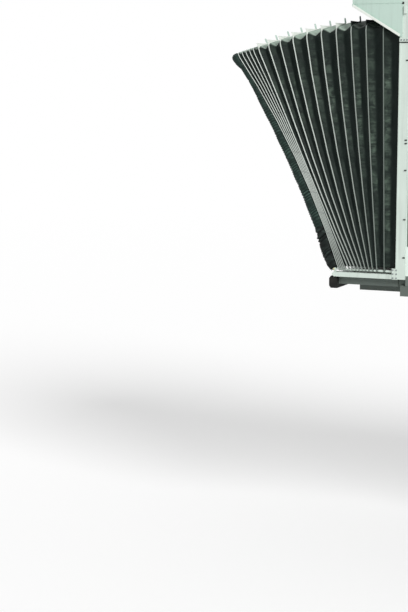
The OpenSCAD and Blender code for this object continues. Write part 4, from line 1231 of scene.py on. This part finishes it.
def cab_trim():
    """Windows, roof seams, curtain guides, rivets and floor mats of the cab."""
    cab_windows()
    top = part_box("cab_roof")[1].z
    seams = []
    for y in (-1.1, -0.66, -0.22, 0.22, 0.66, 1.1):
        back = CAB_X + math.sqrt((CAB_SIDE + 0.02) ** 2 - y * y) - 0.01
        seams.append(block((FRONT_X + 0.125, y - 0.012, top - 0.002),
                           (back, y + 0.012, top + 0.022), 0.003))
    seams.append(mirrored(block((FRONT_X + 0.42, CAB_SIDE + 0.028, top - 0.05),
                                (CAB_X, CAB_SIDE + 0.04, top + 0.012), 0.002)))
    settle(join(*seams), "cab_roof_seams", "white_enamel")

    low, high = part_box("cab_curtains")
    # The guides run only where the curtain does, up to the tunnel on each side
    hoop = band(CAB_SIDE - 0.004, 0.06, 0.008, lambda c: abs(c.y) > 1.012 and c.x > -0.02)
    hoops = [Matrix.Translation((CAB_X, 0, z)) for z in (low.z + 0.035, low.z + 1.21, high.z - 0.035)]
    settle(stamp(hoop, hoops), "cab_curtain_guides", "zinc_steel", smooth=30)

    low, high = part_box("cab_walls")
    front, back = FRONT_X + 0.43, CAB_X - 0.04
    heads = []
    for x in (front, back):
        heads += row((x, CAB_SIDE, low.z + 0.06), (x, CAB_SIDE, high.z - 0.05), 0.12)
    for z in (low.z + 0.035, high.z - 0.035):
        heads += row((front, CAB_SIDE, z), (back, CAB_SIDE, z), 0.12)
    settle(mirrored(heads_on_face(rivet(0.006), heads, (0, 1, 0))), "cab_rivets", "white_enamel")

    lay_mats("cab_mats", ((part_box("cab_floor")[0].x + 0.15, FRONT_X - 0.005, 1.38, FLOOR_Z),
                          (FRONT_X + 0.12, CAB_X - 0.01, 1.08, FLOOR_Z),
                          (CAB_X, CAB_X + 0.78, 0.86, FLOOR_Z)))


def tunnel_rivets():
    """Two rows of rivets on each bay post of the two tunnels."""
    heads = []
    for node, end, count in (("outer_tunnel_walls", None, 4), ("inner_tunnel_walls", -1.518, 3)):
        low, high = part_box(node)
        # Bays are counted from the end of the tunnel that is nearer the rotunda
        end = high.x if end is None else end
        for i in range(count):
            left = max(low.x, min(end - 0.1, end - BAY * i - 0.05))
            for x in (left + 0.02, left + 0.08):
                heads += row((x, high.y, low.z + 0.06), (x, high.y, high.z - 0.06), 0.11)
    settle(mirrored(heads_on_face(rivet(0.006), heads, (0, 1, 0))), "tunnel_rivets", "white_enamel")


def tunnel_straps():
    """Straps over the crowned roofs, and the drips along the edges of the outer one."""
    straps = []
    for node, starts, height, crown in (("outer_tunnel_roof", np.arange(-9.54, -5.5, 0.75), 0.02, 0.04),
                                        ("inner_tunnel_roof", np.arange(-5.25, -1.9, 0.6), 0.006, 0.03)):
        low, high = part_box(node)
        strap = block((-0.03, low.y + 0.004, high.z - crown - 0.003),
                      (0.03, high.y - 0.004, high.z - crown + height))
        with edit_mode():
            bpy.ops.mesh.select_all(action="SELECT")
            bpy.ops.mesh.bisect(plane_co=(0, 0, 0), plane_no=(0, 1, 0))
            bpy.ops.transform.translate(value=(0, 0, crown))
        apply_modifier(strap, "BEVEL", width=0.0025, segments=1, limit_method="ANGLE")
        straps.append(stamp(strap, [Matrix.Translation((float(x), 0, 0)) for x in starts]))
    low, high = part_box("outer_tunnel_roof")
    straps.append(mirrored(block((low.x + 0.35, high.y - SKIN, low.z + 0.004),
                                 (high.x, high.y + 0.012, low.z + 0.034), 0.003)))
    settle(join(*straps), "tunnel_roof_straps", "white_enamel")


def collar_trim():
    """The seal between the tunnels, the seals at the terminal wall, and the bolts of both collars."""
    collar_low, collar_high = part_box("tunnel_collar")
    face = collar_high.x
    low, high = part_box("outer_tunnel_walls")
    gap = stamp(frame_ring(1.79, 2.372, 0.05, 0.012),
                [placed((face - 0.002, 0, (low.z + high.z) / 2), (0, 1, 0), (0, 0, 1))])
    low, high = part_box("terminal_collar")
    start, end = high.x - 0.06, high.x - 0.03
    seals = [block((start, -high.y, z), (end, high.y, z + 0.012), 0.004)
             for z in (low.z - 0.01, high.z - 0.002)]
    seals.append(mirrored(block((start, high.y - 0.002, low.z - 0.01),
                                (end, high.y + 0.01, high.z + 0.01), 0.004)))
    settle(join(gap, *seals), "gap_seals", "seal_rubber")

    bolts = []
    for y in (-1.0, 1.0):
        bolts += row((face, y, collar_low.z + 0.1), (face, y, collar_high.z - 0.09), 0.3)
    for z in (collar_low.z + 0.15, collar_high.z - 0.08):
        bolts += row((face, -0.8, z), (face, 0.8, z), 0.32)
    heads = [heads_on_face(hex_bolt(0.014, 0.012), bolts, (1, 0, 0))]
    inner = high.x - 0.08
    bolts = []
    for y in (-1.0, 1.0):
        bolts += row((inner, y, low.z + 0.07), (inner, y, high.z - 0.06), 0.3)
    heads.append(heads_on_face(hex_bolt(0.011, 0.009), bolts, (-1, 0, 0)))
    settle(join(*heads), "collar_bolts", "zinc_steel")


def tunnel_trim():
    """Rivets, roof straps, seals, bolts and floor mats of the tunnels."""
    tunnel_rivets()
    tunnel_straps()
    collar_trim()
    lay_mats("tunnel_mats", ((-9.9, -6.74, 0.92, FLOOR_Z), (-5.98, -1.7, 0.78, INNER_FLOOR_Z),
                             (-1.15, 1.2, 0.85, INNER_FLOOR_Z), (1.6, 2.28, 0.85, INNER_FLOOR_Z)))


def rotunda_trim():
    """Roof seams and cap and curtain guides of the rotunda, and the fittings of its column."""
    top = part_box("rotunda_roof")[1].z
    slope = math.atan2(0.18, 1.55)
    seam = block((0, -0.012, -0.004), (1.52, 0.012, 0.022), 0.003)
    seam = stamp(seam, [Matrix.Translation((0.31, 0, top)) @ Matrix.Rotation(slope, 4, "Y")])
    seams = stamp(seam, [Matrix.Rotation(math.radians(22.5 * (i + 0.5)), 4, "Z") for i in range(16)])
    cap = moved(turned(0.34, 0.03, 0.02), Matrix.Translation((0, 0, top - 0.002)))
    settle(join(seams, cap), "rotunda_roof_seams", "white_enamel")

    low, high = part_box("rotunda_curtains")
    # The guides run only where the curtain does, between the tunnel and the terminal
    hoop = band(ROTUNDA_R - 0.004, 0.06, 0.009,
                lambda c: 33.5 < math.degrees(math.atan2(abs(c.y), c.x)) < 148)
    hoops = [Matrix.Translation((0, 0, z)) for z in (low.z + 0.035, low.z + 1.1, high.z - 0.04)]
    settle(stamp(hoop, hoops), "rotunda_curtain_guides", "zinc_steel", smooth=30)

    stud = join(hex_bolt(0.03, 0.026), moved(turned(0.015, 0.07, 0.002, 10), Matrix()))
    studs = [Matrix.Rotation(math.radians(30 * i), 4, "Z") @ Matrix.Translation((0.6, 0, 0.04))
             for i in range(12)]
    settle(stamp(stud, studs), "anchor_studs", "zinc_steel")
    column_trim()


def column_trim():
    """Weld beads at the foot and head of the column, and the bolted cover of its hand hole."""
    beads = []
    for z in (0.046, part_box("rotunda_floor")[0].z - 0.46):
        deselect()
        bpy.ops.mesh.primitive_torus_add(major_segments=72, minor_segments=8, major_radius=0.383,
                                         minor_radius=0.009, location=(0, 0, z))
        bead = bpy.context.object
        bpy.ops.object.transform_apply()
        # Every other section stands out a little, as the ripples of a weld do
        for vertex in bead.data.vertices:
            vertex.select = vertex.index % 16 < 8
        with edit_mode():
            bpy.ops.transform.resize(value=(1.004, 1.004, 1), center_override=(0, 0, z))
        beads.append(bead)
    face = -0.391
    plate = block((-0.16, face, 1.3), (0.16, -0.345, 1.72), 0.006, 2)
    heads = [Vector((x, face, z)) for x in (-0.13, 0.13) for z in (1.33, 1.51, 1.69)]
    cover = join(plate, heads_on_face(hex_bolt(0.009, 0.007), heads, (0, -1, 0)))
    settle(join(*beads, cover), "column_cover", "grey_enamel", smooth=40)


def undercarriage_trim():
    """Tyres, hubs and nuts of the drive wheels, and the fittings of the lift over them."""
    low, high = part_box("tyres")
    x, z = (low.x + high.x) / 2, (low.z + high.z) / 2
    rubber = stamp(tyre(0.5, 0.296, 0.33, 60), [Matrix.Translation((x, y, z)) for y in (-0.56, 0.56)])
    settle(rubber, "drive_tyres", "tyre_rubber", smooth=35)
    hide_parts("tyres")

    ring, count = 0.21, 10
    hub = moved(turned(0.086, 0.088, 0.01), facing((0, 1, 0), (x, 0.668, z)))
    nuts = [facing((0, 1, 0), (x + ring * math.cos(a), 0.59, z + ring * math.sin(a)))
            for a in np.arange(count) * math.tau / count]
    settle(mirrored(join(hub, stamp(hex_bolt(0.017, 0.022), nuts))), "hub_caps", "zinc_steel", smooth=35)
    lift_trim()


def lift_trim():
    """Caps, flanges, wipers and bolts of the lift."""
    low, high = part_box("lift_frame")
    lx, ly = (low.x + high.x) / 2, high.y - 0.16
    beam_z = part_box("lift_lower_tubes")[0].z
    flange_z = beam_z + 0.02
    cap = block((lx - 0.18, ly - 0.18, high.z - 0.002), (lx + 0.18, ly + 0.18, high.z + 0.022), 0.006, 2)
    pick_faces(cap, lambda face: face.normal.z > 0.9 and face.area > 0.05)
    with edit_mode():
        bpy.ops.mesh.inset(thickness=0.1, depth=0.012)
    wiper = stamp(frame_ring(0.266, 0.266, 0.034, 0.05), [Matrix.Translation((lx, ly, low.z - 0.048))])
    flange = block((lx - 0.165, ly - 0.165, flange_z - 0.021), (lx + 0.165, ly + 0.165, flange_z), 0.004)
    settle(mirrored(join(cap, flange)), "lift_caps", "white_enamel")
    settle(mirrored(wiper), "lift_wipers", "seal_rubber")

    bolts = [Vector((lx + x, ly + y, z)) for z in (high.z + 0.02, flange_z)
             for x in (-0.145, 0.145) for y in (-0.145, 0.145)]
    heads = [heads_on_face(hex_bolt(0.013, 0.012), bolts, (0, 0, 1))]
    for side in (-1, 1):
        spots = [Vector((lx + side * 0.2, y, beam_z + dz)) for y in (0.25, 0.55, 0.85, 1.2)
                 for dz in (-0.24, -0.06)]
        spots += [Vector((lx + side * 0.16, ly + y, low.z + dz)) for y in (-0.12, 0.12)
                  for dz in (0.05, 0.2)]
        heads.append(heads_on_face(hex_bolt(0.014, 0.012), spots, (side, 0, 0)))
    settle(mirrored(join(*heads)), "lift_bolts", "zinc_steel")


def tread_trim():
    """Grip bars and nosings of the treads."""
    low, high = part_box("stair_treads")
    bars = [block((0.018 + 0.034 * i, low.y + 0.03, -SKIN), (0.03 + 0.034 * i, high.y - 0.03, 0.004), 0.001)
            for i in range(1, 6)]
    steps = [Matrix.Translation((low.x + GOING * i, 0, high.z - RISE * i)) for i in range(STEPS)]
    settle(stamp(join(*bars), steps), "tread_grip_bars", "zinc_steel")
    nosing = join(
        block((GOING - 0.03, low.y + 0.004, -0.012), (GOING + 0.003, high.y - 0.004, 0.005), 0.002),
        block((GOING - 0.003, low.y + 0.004, -0.031), (GOING + 0.003, high.y - 0.004, 0.004), 0.001))
    settle(stamp(nosing, steps), "tread_nosings", "yellow_enamel")


def landing_trim():
    """Toe boards and grip bars of the landing."""
    low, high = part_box("stair_landing")
    base, top = FLOOR_Z - SKIN, FLOOR_Z + 0.11
    boards = join(block((low.x, low.y + 0.12, base), (low.x + 0.006, high.y - 0.01, top), 0.002),
                  block((low.x, high.y - 0.008, base), (high.x, high.y - 0.002, top), 0.002))
    settle(boards, "toe_boards", "yellow_enamel")
    bars = [block((low.x + 0.03 + 0.06 * i, low.y + 0.03, base),
                  (low.x + 0.042 + 0.06 * i, high.y - 0.03, FLOOR_Z + 0.005), 0.001) for i in range(19)]
    settle(join(*bars), "landing_grip_bars", "zinc_steel")


def handrail_trim():
    """Two bolts at the foot of each post of the handrail."""
    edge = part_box("stair_landing")[1]
    bolts = []
    for i in range(5):
        tread = 0.6 + i * (STEPS - 0.2) / 4
        spot = Vector((edge.x + tread * GOING, 0, FLOOR_Z - tread * RISE))
        bolts += [spot + Vector((0, edge.y + 0.0405, dz)) for dz in (-0.03, -0.1)]
    settle(heads_on_face(hex_bolt(0.011, 0.009), bolts, (0, 1, 0)), "handrail_bolts", "zinc_steel")


def stair_wheel_trim():
    """Tyres and discs of the wheels at the foot of the stair."""
    low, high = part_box("stair_wheels")
    x, z = (low.x + high.x) / 2, 0.15
    places = [Matrix.Translation((x, y, z)) for y in (low.y + 0.035, high.y - 0.035)]
    rubber = stamp(tyre(0.15, 0.068, 0.09, 36), places)
    settle(rubber, "stair_tyres", "tyre_rubber", smooth=35)
    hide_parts("stair_wheels")
    faces = [moved(turned(0.0905, 0.03, 0.006), facing((0, side, 0), (0, -SKIN * side, 0)))
             for side in (1, -1)]
    nuts = [moved(hex_bolt(0.018, 0.014), facing((0, side, 0), (0, 0.036 * side, 0))) for side in (1, -1)]
    settle(stamp(join(*faces, *nuts), places), "stair_wheel_discs", "zinc_steel", smooth=35)


def stair_trim():
    """The trim of the treads, the landing, the handrail and the wheels of the stair."""
    tread_trim()
    landing_trim()
    handrail_trim()
    stair_wheel_trim()


def hinge_pin(x, y, z):
    """An upright pin with turned ends."""
    deselect()
    bpy.ops.mesh.primitive_cylinder_add(vertices=12, radius=0.011, depth=0.13, location=(x, y, z))
    bpy.ops.object.transform_apply()
    pin = bpy.context.object
    pick_faces(pin, lambda face: abs(face.normal.z) > 0.9)
    with edit_mode():
        bpy.ops.mesh.inset(thickness=0.003, depth=0.004)
    return pin


def door_trim():
    """Kick plate, hinges, rose, rivets and window seal of the service door."""
    low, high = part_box("service_door")
    face, middle = low.y + 0.045, (low.x + high.x) / 2
    kick = block((low.x + 0.04, face - SKIN, low.z + 0.03),
                 (high.x - 0.04, face + 0.003, low.z + 0.29), 0.0012)
    heads = [Vector((x, face + 0.003, z)) for x in (low.x + 0.06, middle, high.x - 0.06)
             for z in (low.z + 0.05, low.z + 0.27)]
    hinges = []
    for z in (low.z + 0.25, (low.z + high.z) / 2, high.z - 0.25):
        hinges.append(block((high.x - 0.06, face - SKIN, z - 0.06),
                            (high.x - 0.004, face + 0.005, z + 0.06), 0.0015))
        hinges.append(hinge_pin(high.x - 0.004, face + 0.008, z))
        heads += [Vector((high.x - 0.035, face + 0.005, z + dz)) for dz in (-0.04, 0.04)]
    rose = moved(turned(0.028, 0.012, 0.004, 24), facing((0, 1, 0), (low.x + 0.1, face, low.z + 0.93)))
    settle(join(kick, rose, *hinges, heads_on_face(rivet(0.006), heads, (0, 1, 0))),
           "door_fittings", "zinc_steel")
    eye_level = FLOOR_Z + 1.525
    sides = [placed((middle, face - 0.002, eye_level), (-1, 0, 0), (0, 0, 1)),
             placed((middle, face - 0.043, eye_level), (1, 0, 0), (0, 0, 1))]
    settle(stamp(frame_ring(0.3, 0.55, 0.03, 0.012), sides), "door_window_seal", "seal_rubber")


# Stage


def shown_ray(tree):
    """One for the rays that show the stage, straight or in a mirror or a pane, and nought for the rest."""
    rays = add_node(tree, "LightPath")
    shown = rays.outputs["Is Camera Ray"]
    for ray in ("Is Glossy Ray", "Is Transmission Ray"):
        shown = add_node(tree, "Math", {0: shown, 1: rays.outputs[ray]}, operation="MAXIMUM")
    return shown


def stage_floor():
    """A floor that takes the shadow near the bridge and fades to plain white far off."""
    deselect()
    bpy.ops.mesh.primitive_plane_add(size=600, location=(FRONT_X / 2, 0, -0.001))
    floor = bpy.context.object
    floor.name = "floor"
    material, tree, coords = new_material("pale_studio_floor")
    shown = shown_ray(tree)
    away = add_node(tree, "VectorMath", {0: coords}, operation="LENGTH")
    far = add_node(tree, "MapRange", {0: away.outputs["Value"]}, span=(18.0, 60.0, 0.0, 1.0))
    plain = add_node(tree, "BsdfDiffuse", {"Color": (0.86, 0.86, 0.86, 1)})
    # The lift brightens the floor to the eye without lighting the bridge from below
    lift = add_node(tree, "Emission", {"Color": (1, 1, 1, 1), "Strength": 0.28})
    none = add_node(tree, "Emission", {"Strength": 0.0})
    lifted = add_node(tree, "MixShader", {0: shown, 1: none, 2: lift})
    near = add_node(tree, "AddShader", {0: plain, 1: lifted})
    white = add_node(tree, "Emission", {"Color": (1, 1, 1, 1), "Strength": 1.0})
    fade = add_node(tree, "Math", {0: far, 1: shown}, operation="MULTIPLY")
    both = add_node(tree, "MixShader", {0: fade, 1: near, 2: white})
    add_node(tree, "OutputMaterial", {"Surface": both})
    floor.data.materials.append(material)


def stage_light(settings):
    """An even light from all round, white to the camera, and one broad key lamp."""
    world = bpy.data.worlds.new("soft_studio")
    bpy.context.scene.world = world
    world.use_nodes = True
    tree = world.node_tree
    tree.nodes.clear()
    shown = shown_ray(tree)
    lamp = add_node(tree, "Background", {"Color": (1, 1, 1, 1), "Strength": settings.fill})
    white = add_node(tree, "Background", {"Color": (1, 1, 1, 1), "Strength": 1.0})
    both = add_node(tree, "MixShader", {0: shown, 1: lamp, 2: white})
    add_node(tree, "OutputWorld", {"Surface": both})

    bpy.ops.object.light_add(type="SUN", location=(0, -10, 20))
    key = bpy.context.object
    key.name = "key_lamp"
    key.data.energy = settings.key
    key.data.angle = math.radians(22)
    key.rotation_mode = "QUATERNION"
    key.rotation_quaternion = Vector((0.72, -0.6, 0.52)).to_track_quat("Z", "Y")


def stage_camera(settings):
    """The camera that was matched to the photograph."""
    azimuth, tilt = math.radians(24), math.radians(8.109)
    bpy.ops.object.camera_add(location=(-6.917, -19.174, 5.97),
                              rotation=(math.radians(90) - tilt, 0, azimuth))
    camera = bpy.context.object
    camera.data.sensor_width = 36
    camera.data.lens = settings.lens
    camera.data.clip_end = 500
    bpy.context.scene.camera = camera


# Operators and panel


class BRIDGE_OT_node_finishes(bpy.types.Operator):
    """Make the finishes and give each solid its own"""
    bl_idname = "bridge.node_finishes"
    bl_label = "Finishes"

    def execute(self, context):
        make_finishes()
        for finish, names in NODE_FINISH.items():
            for name in names:
                mesh = frame["nodes"][name].data
                mesh.materials.clear()
                mesh.materials.append(FINISH[finish])
        return {"FINISHED"}


class BRIDGE_OT_canopy_pleats(bpy.types.Operator):
    """Make the cloth between the bows"""
    bl_idname = "bridge.canopy_pleats"
    bl_label = "Canopy pleats"

    def execute(self, context):
        for k in range(BOWS):
            pleat(k)
        return {"FINISHED"}


class BRIDGE_OT_front_pad(bpy.types.Operator):
    """Make the gathered pad on the lead bow"""
    bl_idname = "bridge.front_pad"
    bl_label = "Front pad"

    def execute(self, context):
        front_pad_cover()
        return {"FINISHED"}


class BRIDGE_OT_bow_fittings(bpy.types.Operator):
    """Make the wedges, lugs and rivets of the bows"""
    bl_idname = "bridge.bow_fittings"
    bl_label = "Bow fittings"

    def execute(self, context):
        bow_fittings()
        return {"FINISHED"}


class BRIDGE_OT_portal_trim(bpy.types.Operator):
    """Make the trim of the hood, the posts and the rails"""
    bl_idname = "bridge.portal_trim"
    bl_label = "Portal trim"

    def execute(self, context):
        portal_trim()
        return {"FINISHED"}


class BRIDGE_OT_bumper_trim(bpy.types.Operator):
    """Make the bolts and caps of the bumper, and the plates of the threshold"""
    bl_idname = "bridge.bumper_trim"
    bl_label = "Bumper trim"

    def execute(self, context):
        bumper_trim()
        return {"FINISHED"}


class BRIDGE_OT_cab_trim(bpy.types.Operator):
    """Make the window frames, seams, guides, rivets and mats of the cab"""
    bl_idname = "bridge.cab_trim"
    bl_label = "Cab trim"

    def execute(self, context):
        cab_trim()
        return {"FINISHED"}


class BRIDGE_OT_tunnel_trim(bpy.types.Operator):
    """Make the rivets, straps, seals, bolts and mats of the tunnels"""
    bl_idname = "bridge.tunnel_trim"
    bl_label = "Tunnel trim"

    def execute(self, context):
        tunnel_trim()
        return {"FINISHED"}


class BRIDGE_OT_rotunda_trim(bpy.types.Operator):
    """Make the seams, guides and studs of the rotunda, and the cover of its column"""
    bl_idname = "bridge.rotunda_trim"
    bl_label = "Rotunda trim"

    def execute(self, context):
        rotunda_trim()
        return {"FINISHED"}


class BRIDGE_OT_undercarriage_trim(bpy.types.Operator):
    """Make the tyres and hubs of the drive, and the fittings of the lift"""
    bl_idname = "bridge.undercarriage_trim"
    bl_label = "Undercarriage trim"

    def execute(self, context):
        undercarriage_trim()
        return {"FINISHED"}


class BRIDGE_OT_stair_trim(bpy.types.Operator):
    """Make the grip bars, nosings, toe boards, bolts and wheels of the stair"""
    bl_idname = "bridge.stair_trim"
    bl_label = "Stair trim"

    def execute(self, context):
        stair_trim()
        return {"FINISHED"}


class BRIDGE_OT_door_trim(bpy.types.Operator):
    """Make the fittings of the service door"""
    bl_idname = "bridge.door_trim"
    bl_label = "Door trim"

    def execute(self, context):
        door_trim()
        return {"FINISHED"}


class BRIDGE_OT_stage(bpy.types.Operator):
    """Set up the floor, the light and the camera"""
    bl_idname = "bridge.stage"
    bl_label = "Stage"

    def execute(self, context):
        settings = context.scene.bridge_stage
        stage_floor()
        stage_light(settings)
        stage_camera(settings)
        context.scene.view_settings.view_transform = "Standard"
        return {"FINISHED"}


class BRIDGE_PT_panel(bpy.types.Panel):
    """Jet bridge tools"""
    bl_label = "Jet Bridge"
    bl_idname = "BRIDGE_PT_panel"
    bl_space_type = "VIEW_3D"
    bl_region_type = "UI"
    bl_category = "Jet Bridge"

    def draw(self, context):
        scene = context.scene
        for title, group in (("Canopy", scene.bridge_canopy), ("Paint", scene.bridge_paint),
                             ("Stage", scene.bridge_stage)):
            box = self.layout.box()
            box.label(text=title)
            for key in group.__annotations__:
                box.prop(group, key)
        for operator in OPERATORS:
            self.layout.operator(operator.bl_idname)


OPERATORS = (BRIDGE_OT_node_finishes, BRIDGE_OT_canopy_pleats, BRIDGE_OT_front_pad,
             BRIDGE_OT_bow_fittings, BRIDGE_OT_portal_trim, BRIDGE_OT_bumper_trim,
             BRIDGE_OT_cab_trim, BRIDGE_OT_tunnel_trim, BRIDGE_OT_rotunda_trim,
             BRIDGE_OT_undercarriage_trim, BRIDGE_OT_stair_trim, BRIDGE_OT_door_trim,
             BRIDGE_OT_stage)
CLASSES = (CanopySettings, PaintSettings, StageSettings) + OPERATORS + (BRIDGE_PT_panel,)


def register():
    """Registers the classes and gives the scene its settings."""
    for cls in CLASSES:
        bpy.utils.register_class(cls)
    bpy.types.Scene.bridge_canopy = PointerProperty(type=CanopySettings)
    bpy.types.Scene.bridge_paint = PointerProperty(type=PaintSettings)
    bpy.types.Scene.bridge_stage = PointerProperty(type=StageSettings)


def unregister():
    """Undoes what register did."""
    del bpy.types.Scene.bridge_stage
    del bpy.types.Scene.bridge_paint
    del bpy.types.Scene.bridge_canopy
    for cls in reversed(CLASSES):
        bpy.utils.unregister_class(cls)


def main():
    """Registers the add-on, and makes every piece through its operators."""
    register()
    for operator in OPERATORS:
        group, name = operator.bl_idname.split(".")
        getattr(getattr(bpy.ops, group), name)()


if __name__ == "__main__":
    main()
